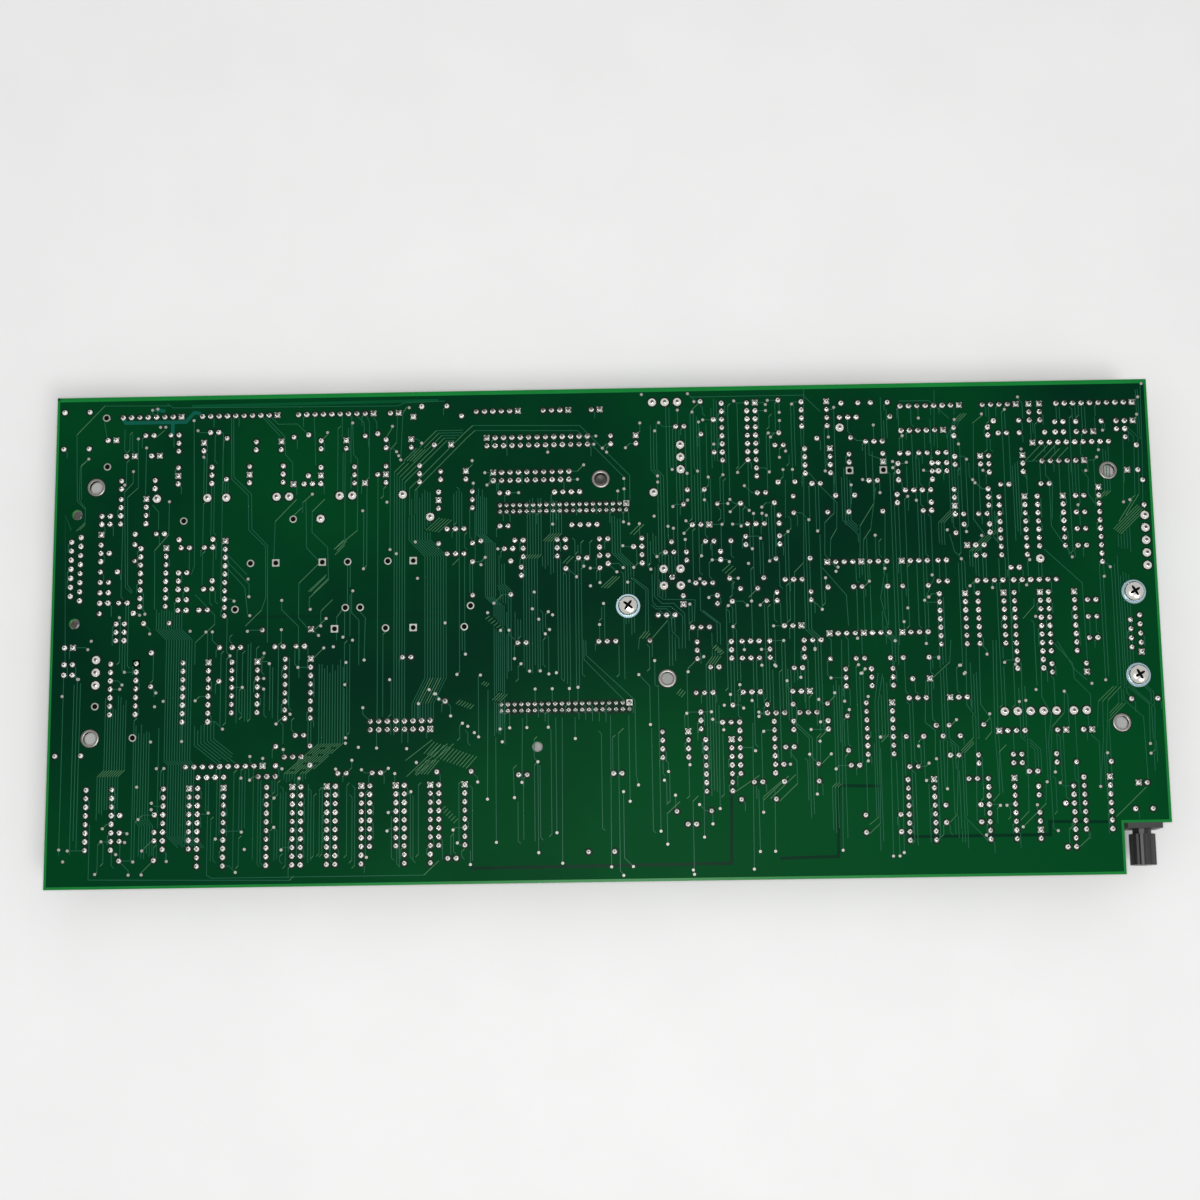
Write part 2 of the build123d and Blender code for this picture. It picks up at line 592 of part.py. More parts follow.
def light_leads():
    places = []
    for x, y, pins in CHIPS:
        places += run(x, y, pins, 0, 4) + run(x + ROW_GAP, y, pins, 0, 4)
    for x, y, leads, dx, dy in NETWORKS:
        places += run(x, y, leads, dx, dy)
    for table, turned in (
        (FLAT_ALONG_X, False), (FLAT_ALONG_Y, True), (CAPACITORS_ALONG_X, False), (CAPACITORS_ALONG_Y, True)
    ):
        for x, y, spacing in table:
            places += pair(x, y, spacing, turned)
    for x, y, dx, dy in THREE_LEADS + JUMPERS:
        places += run(x, y, 3, dx, dy)
    for x, y, pins in WIRE_HEADERS:
        places += run(x, y, pins, 4, 0)
    for x, y, pins in BLOCK_HEADERS:
        places += run(x, y, pins, 4, 0) + run(x, y + 4, pins, 4, 0)
    for row in SOCKET_ROWS:
        for side in (-0.5, 0.5):
            y = row + side * SOCKET_PITCH / STEP
            places += run(SOCKET_LEFT, y, SOCKET_CONTACTS, SOCKET_PITCH / STEP, 0)
    for x, y, contacts, gap, flange, shell in D_CONNECTORS.values():
        places += d_contacts(contacts, x, y)
    places += FIBRE_PINS + POSTS
    return places


def heavy_leads():
    places = list(HEAVY_POSTS)
    for x, y, pins, dx, dy in TERMINAL_BLOCKS:
        places += run(x, y, pins, dx, dy)
    for x, y, spacing, diameter in CANS:
        places += [(x, y), (x + spacing, y)]
    x, y = COAX_JACK
    span = COAX_HALF_SPAN
    places += [(x, y)] + [(x + a * span, y + b * span) for a in (-1, 1) for b in (-1, 1)]
    return places


def joints(places, radius):
    return [spike(at(x, y), radius, JOINT_HEIGHT, JOINT_SIDES, TOPSIDE) for x, y in places]


def pins_below(places, radius, length, root_z):
    return [spike(at(x, y), radius, length, PIN_SIDES, root_z, down=True) for x, y in places]


def header_pins():
    """Pins standing out of the headers, and the posts that stand alone."""
    long_pins, short_pins = [], []
    for x, y, count in WIRE_HEADERS:
        long_pins += run(x, y, count, 4, 0)
    for x, y, count in BLOCK_HEADERS:
        short_pins += run(x, y, count, 4, 0) + run(x, y + 4, count, 4, 0)
    for x, y, dx, dy in JUMPERS:
        short_pins += run(x, y, 3, dx, dy)
    pins = pins_below(long_pins, PIN_R, 7.0, UNDERSIDE - WIRE_BASE_HEIGHT)
    pins += pins_below(short_pins, PIN_R, 6.0, UNDERSIDE - BLOCK_BASE_HEIGHT)
    return pins + pins_below(POSTS + HEAVY_POSTS, POST_R, 6.0, UNDERSIDE)


os.makedirs("parts", exist_ok=True)

export([circuit_board()], "circuit_board")

number = {}
for x, y, pins in CHIPS:
    kind = f"chip_{2 * pins}pin"
    number[kind] = number.get(kind, 0) + 1
    export([chip(x, y, pins)], f"{kind}_{number[kind]}")
legs = []
for x, y, pins in CHIPS:
    for place_x, place_y in run(x, y, pins, 0, 4):
        legs += [leg(place_x, place_y, -1), leg(place_x, place_y, 1)]
export(legs, "chip_legs")

export([network(*row) for row in NETWORKS], "resistor_networks")
export(
    [axial(*row, False) for row in FLAT_ALONG_X] + [axial(*row, True) for row in FLAT_ALONG_Y],
    "resistors",
)
export(
    [capacitor(*row, False) for row in CAPACITORS_ALONG_X] + [capacitor(*row, True) for row in CAPACITORS_ALONG_Y],
    "ceramic_capacitors",
)
export([transistor(*row) for row in THREE_LEADS], "transistors")
export([can(*row) for row in CANS], "electrolytic_capacitors")
export(
    [wire_header(*row) for row in WIRE_HEADERS]
    + [block_header(*row) for row in BLOCK_HEADERS]
    + [jumper(*row) for row in JUMPERS],
    "pin_headers",
)
export(header_pins(), "header_pins")
export([terminal_block(*row) for row in TERMINAL_BLOCKS], "terminal_blocks")
export([coax_jack()], "coax_jack")

export([module_board()], "module_board")
export(module_sockets(), "module_sockets")
export(module_plugs(), "module_plugs")
for node, solids in module_chips().items():
    export(solids, node)
export(spacers(), "hexagon_spacers")

for connector in D_CONNECTORS:
    for node, solids in d_connector(connector).items():
        export(solids, node)

export([Pos(place.X, place.Y, 0) * screw() for place in screw_places()], "fixing_screws")
export([Pos(place.X, place.Y, 0) * washer() for place in screw_places()], "screw_washers")
export([fibre_body()], "fibre_receptacle")
export([fibre_nut()], "fibre_lock_nut")

export(joints(light_leads(), JOINT_R), "solder_joints")
export(joints(heavy_leads(), HEAVY_JOINT_R), "heavy_solder_joints")
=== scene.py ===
# %% [markdown]
# # A through-hole processor board, lying solder side up
# The board is a sheet of green coated glass laminate. Its parts are on the side that faces the table,
# and their leads come up through plated holes and end in solder joints. This lesson dresses the packed
# CAD part: the plain solids give every place, and mesh code adds the solder, the copper lines and the leads.

# %% Load the fixed frame
import random
from math import cos, pi, radians, sin

import bpy
import numpy as np
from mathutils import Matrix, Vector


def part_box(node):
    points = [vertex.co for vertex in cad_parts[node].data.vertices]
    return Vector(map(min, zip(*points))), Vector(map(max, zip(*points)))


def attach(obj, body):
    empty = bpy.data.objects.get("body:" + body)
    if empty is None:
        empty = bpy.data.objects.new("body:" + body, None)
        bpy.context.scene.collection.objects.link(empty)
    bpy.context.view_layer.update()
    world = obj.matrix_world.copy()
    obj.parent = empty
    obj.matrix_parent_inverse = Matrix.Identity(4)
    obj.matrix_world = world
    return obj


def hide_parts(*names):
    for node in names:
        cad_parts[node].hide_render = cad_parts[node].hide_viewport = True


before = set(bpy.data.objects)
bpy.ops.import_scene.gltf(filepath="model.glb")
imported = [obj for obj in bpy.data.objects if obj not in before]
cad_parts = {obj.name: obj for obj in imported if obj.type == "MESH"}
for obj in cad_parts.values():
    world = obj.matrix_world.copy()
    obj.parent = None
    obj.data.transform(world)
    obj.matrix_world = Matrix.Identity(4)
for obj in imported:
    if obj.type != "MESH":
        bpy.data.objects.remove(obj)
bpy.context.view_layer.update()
chance = random.Random(7)

# %% [markdown]
# ## The grid of the leads
# Boards of this kind are drawn on a grid of 25 thousandths of an inch, which is 0.635 mm. Every place on
# the solder side is given in grid steps from the board's front left corner, and `at` turns steps into metres.

# %% Grid, heights and the top face
MM = 0.001
STEP = 0.635 * MM
board_low, board_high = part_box("circuit_board")
TOP = board_high.z
UNDER = board_low.z
LEFT_MARGIN = 1.71 * MM     # from the board's left side to the grid's first column
FRONT_MARGIN = 2.41 * MM    # from the board's front side to the grid's first row
GRID_X = board_low.x + LEFT_MARGIN
GRID_Y = board_low.y + FRONT_MARGIN


def at(x, y):
    """Metres across and along of a place in grid steps."""
    return GRID_X + x * STEP, GRID_Y + y * STEP


def steps_of(px, py):
    """Grid steps of a place in metres."""
    return (px - GRID_X) / STEP, (py - GRID_Y) / STEP


print("solder side at", round(TOP / MM, 2), "mm, component side at", round(UNDER / MM, 2), "mm")

# %% [markdown]
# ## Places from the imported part
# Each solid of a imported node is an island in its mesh. Corners that share a place are one corner, and
# corners that share a face are one island. The islands' boxes say where each joint, resistor or leg is, so
# the pieces made here stand where the CAD says.

# %% Read the islands of a node


def islands(node):
    """Lowest and highest corner of each separate solid in a node."""
    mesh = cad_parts[node].data
    places = np.array([v.co[:] for v in mesh.vertices])
    keys, same = np.unique(np.round(places / (0.001 * MM)).astype(np.int64), axis=0, return_inverse=True)
    same = same.reshape(-1)
    parent = list(range(len(keys)))

    def root(i):
        while parent[i] != i:
            parent[i] = parent[parent[i]]
            i = parent[i]
        return i

    for polygon in mesh.polygons:
        corners = [root(same[v]) for v in polygon.vertices]
        for corner in corners[1:]:
            parent[root(corner)] = root(corners[0])
    groups = {}
    for i, place in enumerate(places):
        groups.setdefault(root(same[i]), []).append(place)
    return [(np.min(group, axis=0), np.max(group, axis=0)) for group in groups.values()]


def spike_tips(node, height):
    """Places of the pointed joints of a node, which are the places of their leads."""
    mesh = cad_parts[node].data
    tips = {(round(v.co.x, 6), round(v.co.y, 6)) for v in mesh.vertices if v.co.z > TOP + height}
    return sorted(tips)


JOINTS = spike_tips("solder_joints", 0.9 * MM)
HEAVY_JOINTS = spike_tips("heavy_solder_joints", 0.9 * MM)
print("joints:", len(JOINTS), "heavy joints:", len(HEAVY_JOINTS))

# %% [markdown]
# ## A few ways to make a mesh
# Most pieces are one small shape stamped at many places. `turned` spins an outline round the upright axis,
# as a lathe would. `stamp` copies a shape to each place with numpy, which stays quick for a thousand joints.

# %% Mesh helpers


def new_piece(name, corners, faces, surface, slot=None, smooth=False):
    """Make an object from corners and faces, give it a finish and let it ride on the board."""
    name = name.replace(" ", "_")
    mesh = bpy.data.meshes.new(name)
    mesh.from_pydata([tuple(c) for c in corners], [], [tuple(int(i) for i in f) for f in faces])
    mesh.validate()
    mesh.polygons.foreach_set("use_smooth", [smooth] * len(mesh.polygons))
    if smooth:
        mesh.set_sharp_from_angle(angle=radians(40))
    mesh.materials.append(surface)
    piece = bpy.data.objects.new(name, mesh)
    bpy.context.scene.collection.objects.link(piece)
    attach(piece, "root")
    print(name, "has", len(mesh.vertices), "corners and", len(mesh.polygons), "faces")
    return piece


def ring_faces(rings, sides):
    """Faces that join each ring of corners to the next."""
    return [
        (a + i, a + (i + 1) % sides, a + sides + (i + 1) % sides, a + sides + i)
        for a in range(0, rings * sides, sides) for i in range(sides)
    ]


def turned(profile, sides, turn=0.0, close_top=True, close_foot=False):
    """Corners and faces of an outline of (radius, height) turned round the upright axis."""
    corners = []
    for radius, z in profile:
        for i in range(sides):
            angle = turn + 2 * pi * i / sides
            corners.append((radius * cos(angle), radius * sin(angle), z))
    faces = ring_faces(len(profile) - 1, sides)
    if close_top:
        last = (len(profile) - 1) * sides
        faces.append(tuple(range(last, last + sides)))
    if close_foot:
        faces.append(tuple(reversed(range(sides))))
    return corners, faces


def cuboid(low, high):
    """Corners and faces of a box."""
    (x0, y0, z0), (x1, y1, z1) = low, high
    corners = [
        (x0, y0, z0), (x1, y0, z0), (x1, y1, z0), (x0, y1, z0),
        (x0, y0, z1), (x1, y0, z1), (x1, y1, z1), (x0, y1, z1),
    ]
    faces = [(3, 2, 1, 0), (4, 5, 6, 7), (0, 1, 5, 4), (1, 2, 6, 5), (2, 3, 7, 6), (3, 0, 4, 7)]
    return corners, faces


def plate(half, height):
    """Square plate lying on the board."""
    return cuboid((-half, -half, 0), (half, half, height))


def sorted_corner(a, b):
    """Lowest and highest corner of the box between two corners."""
    return tuple(min(p, q) for p, q in zip(a, b)), tuple(max(p, q) for p, q in zip(a, b))


def box_axes(low, high):
    """Middle and size of a box, and which of its two level axes is the longer."""
    size = high - low
    return (low + high) / 2, size, 0 if size[0] > size[1] else 1


def stamp(shape, places, turns=None):
    """Copy a shape to each place, turned about the upright axis where turns are given."""
    corners, faces = shape
    base = np.array(corners, float)
    all_corners, all_faces = [], []
    for k, place in enumerate(places):
        copy = base.copy()
        if turns is not None:
            c, s = cos(turns[k]), sin(turns[k])
            copy[:, 0] = base[:, 0] * c - base[:, 1] * s
            copy[:, 1] = base[:, 0] * s + base[:, 1] * c
        spot = np.array([place[0], place[1], place[2] if len(place) > 2 else 0.0])
        all_corners.append(copy + spot)
        start = k * len(base)
        all_faces += [tuple(start + i for i in face) for face in faces]
    return np.concatenate(all_corners), all_faces


def together(*shapes):
    """Several shapes as one list of corners and faces."""
    corners, faces = [], []
    for shape_corners, shape_faces in shapes:
        start = len(corners)
        corners += [tuple(c) for c in shape_corners]
        faces += [tuple(start + i for i in face) for face in shape_faces]
    return corners, faces


print("mesh helpers ready")

# %% [markdown]
# ## Finishes
# Every finish is a Principled shader whose colour is varied a little by a noise texture in the object's own
# space, so that no surface is one flat tone. A number that is the same all over is set on the shader itself.

# %% A finish with a varied colour


def finish(name, dark, light, rough, metallic=0.0, grain=400.0, bump=0.0, specular=0.5, coat=0.0):
    """Principled finish whose colour drifts between two tones."""
    material = bpy.data.materials.new(name)
    material.use_nodes = True
    nodes, links = material.node_tree.nodes, material.node_tree.links
    shader = nodes["Principled BSDF"]
    shader.inputs["Metallic"].default_value = metallic
    shader.inputs["Roughness"].default_value = rough
    shader.inputs["Specular IOR Level"].default_value = specular
    shader.inputs["Coat Weight"].default_value = coat
    place = nodes.new("ShaderNodeTexCoord")
    noise = nodes.new("ShaderNodeTexNoise")
    noise.inputs["Scale"].default_value = grain
    noise.inputs["Detail"].default_value = 4.0
    blend = nodes.new("ShaderNodeMix")
    blend.data_type = "RGBA"
    blend.inputs["A"].default_value = (*dark, 1)
    blend.inputs["B"].default_value = (*light, 1)
    links.new(place.outputs["Object"], noise.inputs["Vector"])
    links.new(noise.outputs["Fac"], blend.inputs["Factor"])
    links.new(blend.outputs["Result"], shader.inputs["Base Color"])
    if bump:
        relief = nodes.new("ShaderNodeBump")
        relief.inputs["Strength"].default_value = bump
        relief.inputs["Distance"].default_value = 0.05 * MM
        links.new(noise.outputs["Fac"], relief.inputs["Height"])
        links.new(relief.outputs["Normal"], shader.inputs["Normal"])
    return material


SOLDER = finish(
    "bright solder", (0.78, 0.77, 0.75), (0.98, 0.97, 0.95), 0.13, metallic=0.95, grain=700, bump=0.06,
)
# The heavy joints are drawn a darker grey than the light ones.
GREY_SOLDER = finish(
    "greyer solder of the heavy joints", (0.62, 0.61, 0.58), (0.88, 0.87, 0.84), 0.16, metallic=1.0, grain=900, bump=0.08,
)
# Painted shade: the clipped lead tips are drawn near black, for the shade at the top of each joint.
SHADED_LEAD_TIP = finish("cut lead tip in painted shade", (0.03, 0.03, 0.028), (0.16, 0.15, 0.13), 0.45, metallic=1.0, grain=1500)
VIA_SOLDER = finish(
    "dull solder of the vias", (0.2, 0.21, 0.19), (0.4, 0.4, 0.37), 0.45, metallic=0.6, grain=700,
)
TINNED = finish("tinned leads", (0.5, 0.5, 0.48), (0.68, 0.68, 0.66), 0.35, metallic=1.0, grain=600)
PLATING = finish("tinned hole plating", (0.24, 0.24, 0.225), (0.46, 0.46, 0.43), 0.4, metallic=1.0, grain=500)
NICKEL = finish(
    "nickel plated steel", (0.62, 0.61, 0.59), (0.8, 0.79, 0.77), 0.22, metallic=1.0, grain=300, bump=0.1,
)
SCREW_STEEL = finish(
    "polished screw steel", (0.5, 0.49, 0.46), (0.74, 0.72, 0.69), 0.2, metallic=1.0, grain=200, bump=0.15,
)
ZINC = finish("blue zinc plate", (0.24, 0.37, 0.43), (0.42, 0.54, 0.6), 0.3, metallic=1.0, grain=260)
GOLD = finish("gold flash", (0.6, 0.44, 0.16), (0.78, 0.6, 0.26), 0.3, metallic=1.0, grain=400)
MOULDING = finish(
    "black moulding compound", (0.012, 0.012, 0.013), (0.03, 0.03, 0.032), 0.55, grain=900, bump=0.3,
)
BLACK = finish("black moulded plastic", (0.008, 0.008, 0.009), (0.02, 0.02, 0.021), 0.42, grain=500, bump=0.1)
NYLON = finish("natural nylon", (0.6, 0.57, 0.48), (0.72, 0.69, 0.6), 0.45, grain=120)
TERMINAL = finish("green terminal plastic", (0.01, 0.11, 0.035), (0.02, 0.17, 0.06), 0.4, grain=150)
OCHRE = finish("ochre dipped coating", (0.42, 0.17, 0.025), (0.58, 0.27, 0.05), 0.3, grain=300, coat=0.3)
NETWORK = finish("network coating", (0.17, 0.012, 0.006), (0.26, 0.03, 0.014), 0.3, grain=200, coat=0.3)
SLEEVE = finish("dark blue sleeve", (0.006, 0.012, 0.045), (0.012, 0.025, 0.09), 0.32, grain=80)
TIN_SHELL = finish("tin plated shell", (0.42, 0.42, 0.4), (0.62, 0.62, 0.59), 0.35, metallic=1.0, grain=200)
HOLE_DARK = finish(
    "shade inside a hole", (0.001, 0.002, 0.002), (0.004, 0.005, 0.004), 0.8, grain=500, specular=0.03,
)
CLEARANCE = finish(
    "bare ring round a joint", (0.0, 0.004, 0.002), (0.0, 0.01, 0.005), 0.5, grain=700, specular=0.1,
)
COPPER_LINE = finish(
    "lacquer over copper", (0.001, 0.06, 0.043), (0.014, 0.125, 0.052), 0.3, grain=26, specular=0.15,
)
# Painted glint: lines that slant up to the right are drawn lighter, as if they caught the light.
GLINTING_LINE = finish(
    "painted glint on lacquer over slanting copper", (0.012, 0.1, 0.05), (0.09, 0.21, 0.09), 0.3, grain=40, specular=0.15,
)
BUS_TONE = finish(
    "lacquer over the broad bus", (0.0, 0.066, 0.045), (0.0, 0.105, 0.066), 0.3, grain=60, specular=0.1,
)
INNER_GLOW = finish(
    "glow between inner sheets", (0.0, 0.055, 0.018), (0.0, 0.085, 0.026), 0.3, grain=30, specular=0.05,
)
RIM_LIGHT = finish(
    "light through the rim", (0.0, 0.13, 0.02), (0.002, 0.22, 0.032), 0.3, grain=60, specular=0.15,
)
INNER_SHADE = finish(
    "shade of inner copper", (0.0, 0.018, 0.008), (0.0, 0.03, 0.011), 0.3, grain=40, specular=0.03,
)
print("finishes:", len(bpy.data.materials))

# %% [markdown]
# ## The coated laminate
# The green is a thin lacquer over laminate. Where the board's core shows at its sawn edge, light comes
# through the glass and the edge looks brighter, with a pale line where the lacquer stops. One slow noise
# gives the broad, faint patches of inner copper, and a ramp makes the board lighter toward the front. The
# normal's upright part tells the faces from the edge.

# %% Board finish
RAMP_FROM, RAMP_TO = -15 * MM, -62 * MM     # where the lighter front begins and where it is full


def board_finish():
    """Green lacquer on the faces, and bare laminate on the edge, drawn bright with painted light through the
    glass.
    """
    material = finish("green coated laminate", (0.0, 0.022, 0.0095), (0.0, 0.056, 0.0125), 0.42, grain=10,
                      specular=0.02)
    nodes, links = material.node_tree.nodes, material.node_tree.links
    shader = nodes["Principled BSDF"]
    lacquer = shader.inputs["Base Color"].links[0].from_socket
    patches = lacquer.node.inputs["Factor"].links[0].from_socket
    contrast = nodes.new("ShaderNodeMapRange")
    contrast.inputs["From Min"].default_value = 0.4
    contrast.inputs["From Max"].default_value = 0.66
    contrast.inputs["To Max"].default_value = 0.75
    links.new(patches, contrast.inputs["Value"])
    geometry = nodes.new("ShaderNodeNewGeometry")
    upright = nodes.new("ShaderNodeSeparateXYZ")
    links.new(geometry.outputs["Normal"], upright.inputs["Vector"])
    size = nodes.new("ShaderNodeMath")
    size.operation = "ABSOLUTE"
    links.new(upright.outputs["Z"], size.inputs[0])
    is_face = nodes.new("ShaderNodeMath")
    is_face.operation = "GREATER_THAN"
    is_face.inputs[1].default_value = 0.5
    links.new(size.outputs[0], is_face.inputs[0])
    place = nodes.new("ShaderNodeTexCoord")
    height = nodes.new("ShaderNodeSeparateXYZ")
    links.new(place.outputs["Object"], height.inputs["Vector"])
    layers = nodes.new("ShaderNodeMapRange")
    layers.inputs["From Min"].default_value = UNDER
    layers.inputs["From Max"].default_value = TOP
    links.new(height.outputs["Z"], layers.inputs["Value"])
    toward_front = nodes.new("ShaderNodeMapRange")
    toward_front.inputs["From Min"].default_value = RAMP_FROM
    toward_front.inputs["From Max"].default_value = RAMP_TO
    toward_front.inputs["To Max"].default_value = 0.5
    links.new(height.outputs["Y"], toward_front.inputs["Value"])
    tone = nodes.new("ShaderNodeMath")
    tone.use_clamp = True
    links.new(contrast.outputs["Result"], tone.inputs[0])
    links.new(toward_front.outputs["Result"], tone.inputs[1])
    links.new(tone.outputs[0], lacquer.node.inputs["Factor"])
    # The pale foot is where the lacquer stops; the bright green above it is painted light coming through the
    # glass.
    edge = nodes.new("ShaderNodeValToRGB")
    edge.color_ramp.elements[0].position = 0.0
    edge.color_ramp.elements[0].color = (0.34, 0.3, 0.16, 1)
    edge.color_ramp.elements[1].position = 0.3
    edge.color_ramp.elements[1].color = (0.004, 0.3, 0.03, 1)
    links.new(layers.outputs["Result"], edge.inputs["Fac"])
    choose = nodes.new("ShaderNodeMix")
    choose.data_type = "RGBA"
    links.new(is_face.outputs[0], choose.inputs["Factor"])
    links.new(edge.outputs["Color"], choose.inputs["A"])
    links.new(lacquer, choose.inputs["B"])
    links.new(choose.outputs["Result"], shader.inputs["Base Color"])
    return material


BOARD = board_finish()
print("board finish:", BOARD.name)

# %% [markdown]
# ## Solder joints
# A good joint is a hollow cone: solder climbs from the pad to the clipped lead and leaves its tip bare. The
# outline is turned with twelve sides, and each light joint leans and swells a little differently by a
# seeded chance, because hand and wave soldering never repeat.

# %% Joint shapes
PAD_R = 0.93 * MM
HEAVY_PAD_R = 1.4 * MM
LEAD_R = 0.3 * MM
HEAVY_LEAD_R = 0.5 * MM
PIN_R = 0.44 * MM           # a header's square pin, drawn round here
JOINT_RISE = 0.98 * MM
PIN_RISE = 0.94 * MM


def joint_shape(pad, lead, height):
    """Hollow cone of solder from the pad to the lead."""
    outline = [
        (pad, 0.0), (pad * 0.97, height * 0.14), (pad * 0.87, height * 0.32), (pad * 0.72, height * 0.5),
        (pad * 0.54, height * 0.66), (lead * 1.25, height * 0.8), (lead * 0.9, height * 0.84),
    ]
    return turned(outline, 12)


def tip_shape(lead, height):
    """Clipped lead standing in the joint."""
    return turned([(lead, height * 0.5), (lead, height * 0.94), (lead * 0.75, height)], 8)


def ring_shape(inner, outer, height, sides=16):
    """Flat ring on the board, with a rounded crown."""
    middle = (inner + outer) / 2
    return turned([(outer, 0.0), (middle, height), (inner, height * 0.6)], sides, close_top=False)


spots = [(x, y, TOP) for x, y in JOINTS]
heavy_spots = [(x, y, TOP) for x, y in HEAVY_JOINTS]
turns = [chance.uniform(0, 2 * pi) for _ in spots]
heavy_turns = [chance.uniform(0, 2 * pi) for _ in heavy_spots]
print("first joint in steps:", [round(v, 1) for v in steps_of(*JOINTS[0])])

# %% [markdown]
# ## Solder at every lead
# One joint is stamped at all the leads, then each copy is changed in place. Joints of the module's sockets
# stand closer together, so they are drawn smaller, and so is the middle lead of the coaxial jack. A dark
# ring round each pad is laminate without lacquer. The clipped lead tips are drawn near black, which is
# painted shade at the top of each joint.

# %% Solder the light and heavy joints
CLOSE_PITCH = 2.3 * MM      # the module's sockets have smaller pads, closer together
CLOSE_SIZE = 0.82
ON_PIN = 0.3 * MM           # a lead this near to a header pin is that pin
FOOT_REACH = 4.2 * MM       # from the middle lead of the coaxial jack to its four feet
FEET = 4
MIDDLE_LEAD_SIZE = 0.72
BARE_WIDTH = 0.3 * MM
BARE_HEIGHT = 0.012 * MM
pin_places = np.array([((low + high) / 2)[:2] for low, high in islands("header_pins")])
joint_places = np.array(JOINTS)
light_corners, light_faces = stamp(joint_shape(PAD_R, LEAD_R, JOINT_RISE), spots, turns)
per_joint = len(light_corners) // len(spots)
for k in range(len(spots)):
    lean_x, lean_y = chance.uniform(-0.1, 0.1) * MM, chance.uniform(-0.1, 0.1) * MM
    gaps = np.sort(np.hypot(*(joint_places - joint_places[k]).T))
    is_close = gaps[1] < CLOSE_PITCH and gaps[2] < CLOSE_PITCH
    swell = chance.uniform(0.94, 1.03) * (CLOSE_SIZE if is_close else 1.0)
    part = light_corners[k * per_joint:(k + 1) * per_joint]
    rise = (part[:, 2:] - TOP) / MM
    part[:, :2] += np.array([[lean_x, lean_y]]) * rise
    part[:, :2] = np.array(spots[k][:2]) + (part[:, :2] - np.array(spots[k][:2])) * swell
joints = new_piece("soldered joints", light_corners, light_faces, SOLDER, "solder", smooth=True)
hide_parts("solder_joints")
on_pins = [np.hypot(*(pin_places - place).T).min() < ON_PIN for place in joint_places]
thin = [spot for spot, on_pin in zip(spots, on_pins) if not on_pin]
broad = [spot for spot, on_pin in zip(spots, on_pins) if on_pin]
# The near-black tips are painted shade at the top of each joint.
new_piece(
    "clipped lead tips",
    *together(stamp(tip_shape(LEAD_R, JOINT_RISE), thin), stamp(tip_shape(PIN_R, PIN_RISE), broad)),
    SHADED_LEAD_TIP, "solder", smooth=True,
)
heavy_corners, heavy_faces = stamp(
    joint_shape(HEAVY_PAD_R, HEAVY_LEAD_R, JOINT_RISE), heavy_spots, heavy_turns,
)
heavy_places = np.array(HEAVY_JOINTS)
per_heavy = len(heavy_corners) // len(heavy_spots)
for k, place in enumerate(heavy_places):
    gaps = np.hypot(*(heavy_places - place).T)
    if (gaps < FOOT_REACH).sum() > FEET:
        part = heavy_corners[k * per_heavy:(k + 1) * per_heavy]
        part[:, :2] = place + (part[:, :2] - place) * MIDDLE_LEAD_SIZE
heavy = new_piece("heavy soldered joints", heavy_corners, heavy_faces, GREY_SOLDER, "solder", smooth=True)
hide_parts("heavy_solder_joints")
new_piece(
    "heavy lead tips", *stamp(tip_shape(HEAVY_LEAD_R, JOINT_RISE), heavy_spots, heavy_turns), SHADED_LEAD_TIP,
    "solder", smooth=True,
)
rings = together(
    stamp(ring_shape(PAD_R * 0.9, PAD_R + BARE_WIDTH, BARE_HEIGHT, 14), spots),
    stamp(ring_shape(HEAVY_PAD_R * 0.9, HEAVY_PAD_R + BARE_WIDTH, BARE_HEIGHT, 20), heavy_spots),
)
new_piece("bare rings round the joints", *rings, CLEARANCE, "green_laminate")

# %% [markdown]
# ## Square pads
# The first pin of a chip or a header has a square pad, so that a fitter can find it from this side. The
# pads are flat tinned copper, seen at the corners of the round joint that stands on them. This list and those
# of the vias, single lines, strokes, bus and inner sheets hold places read from a picture. A script that is
# not part of this lesson turned the readings into grid steps.

# %% Square pads
SQUARE_PADS = [
    (8, 109), (37, 101), (71, 101), (94, 101), (119, 102), (97, 51), (63, 42), (79, 41), (111, 42),
    (127, 42), (143, 41), (159, 41), (175, 41), (175, 68), (192, 41), (269, 79), (297, 64), (317, 60),
    (410, 88), (392, 77), (441, 63), (472, 63), (484, 63), (419, 79), (410, 40), (447, 40), (491, 41),
    (458, 17), (503, 38), (483, 90), (508, 99), (354, 83), (202, 208), (185, 205), (218, 221), (242, 221),
    (257, 221), (160, 221), (167, 219), (166, 208), (192, 192), (154, 191), (179, 178), (205, 191), (269, 174),
    (274, 208), (331, 223), (309, 164), (295, 125), (366, 223), (367, 200), (392, 193), (429, 220), (421, 208),
    (455, 220), (461, 220), (466, 220), (510, 219), (510, 210), (491, 206), (462, 201), (486, 192), (438, 195),
    (458, 195), (506, 186), (425, 171), (458, 175), (476, 174), (492, 178), (430, 151), (380, 145), (364, 145),
    (399, 145), (428, 128), (446, 128), (463, 128), (479, 128), (380, 110), (364, 110), (398, 110), (351, 114),
    (57, 220), (102, 220), (148, 221), (26, 209), (35, 201), (46, 201), (67, 207), (104, 208), (135, 208),
    (55, 191), (89, 191), (123, 190), (110, 186), (144, 187), (69, 180), (40, 180), (20, 163), (78, 159),
    (50, 156), (119, 116), (38, 101),
]
SAME_JOINT = 1.5            # a pad this near to a joint, in steps, belongs to it
pad = plate(0.86 * MM, 0.06 * MM)
halo = plate(1.12 * MM, BARE_HEIGHT)
centres = np.array(JOINTS)


def nearest_joint(x, y):
    """Index and distance in steps of the joint nearest to a place in steps."""
    gap = np.hypot(*(centres - np.array(at(x, y))).T)
    return int(np.argmin(gap)), gap.min() / STEP


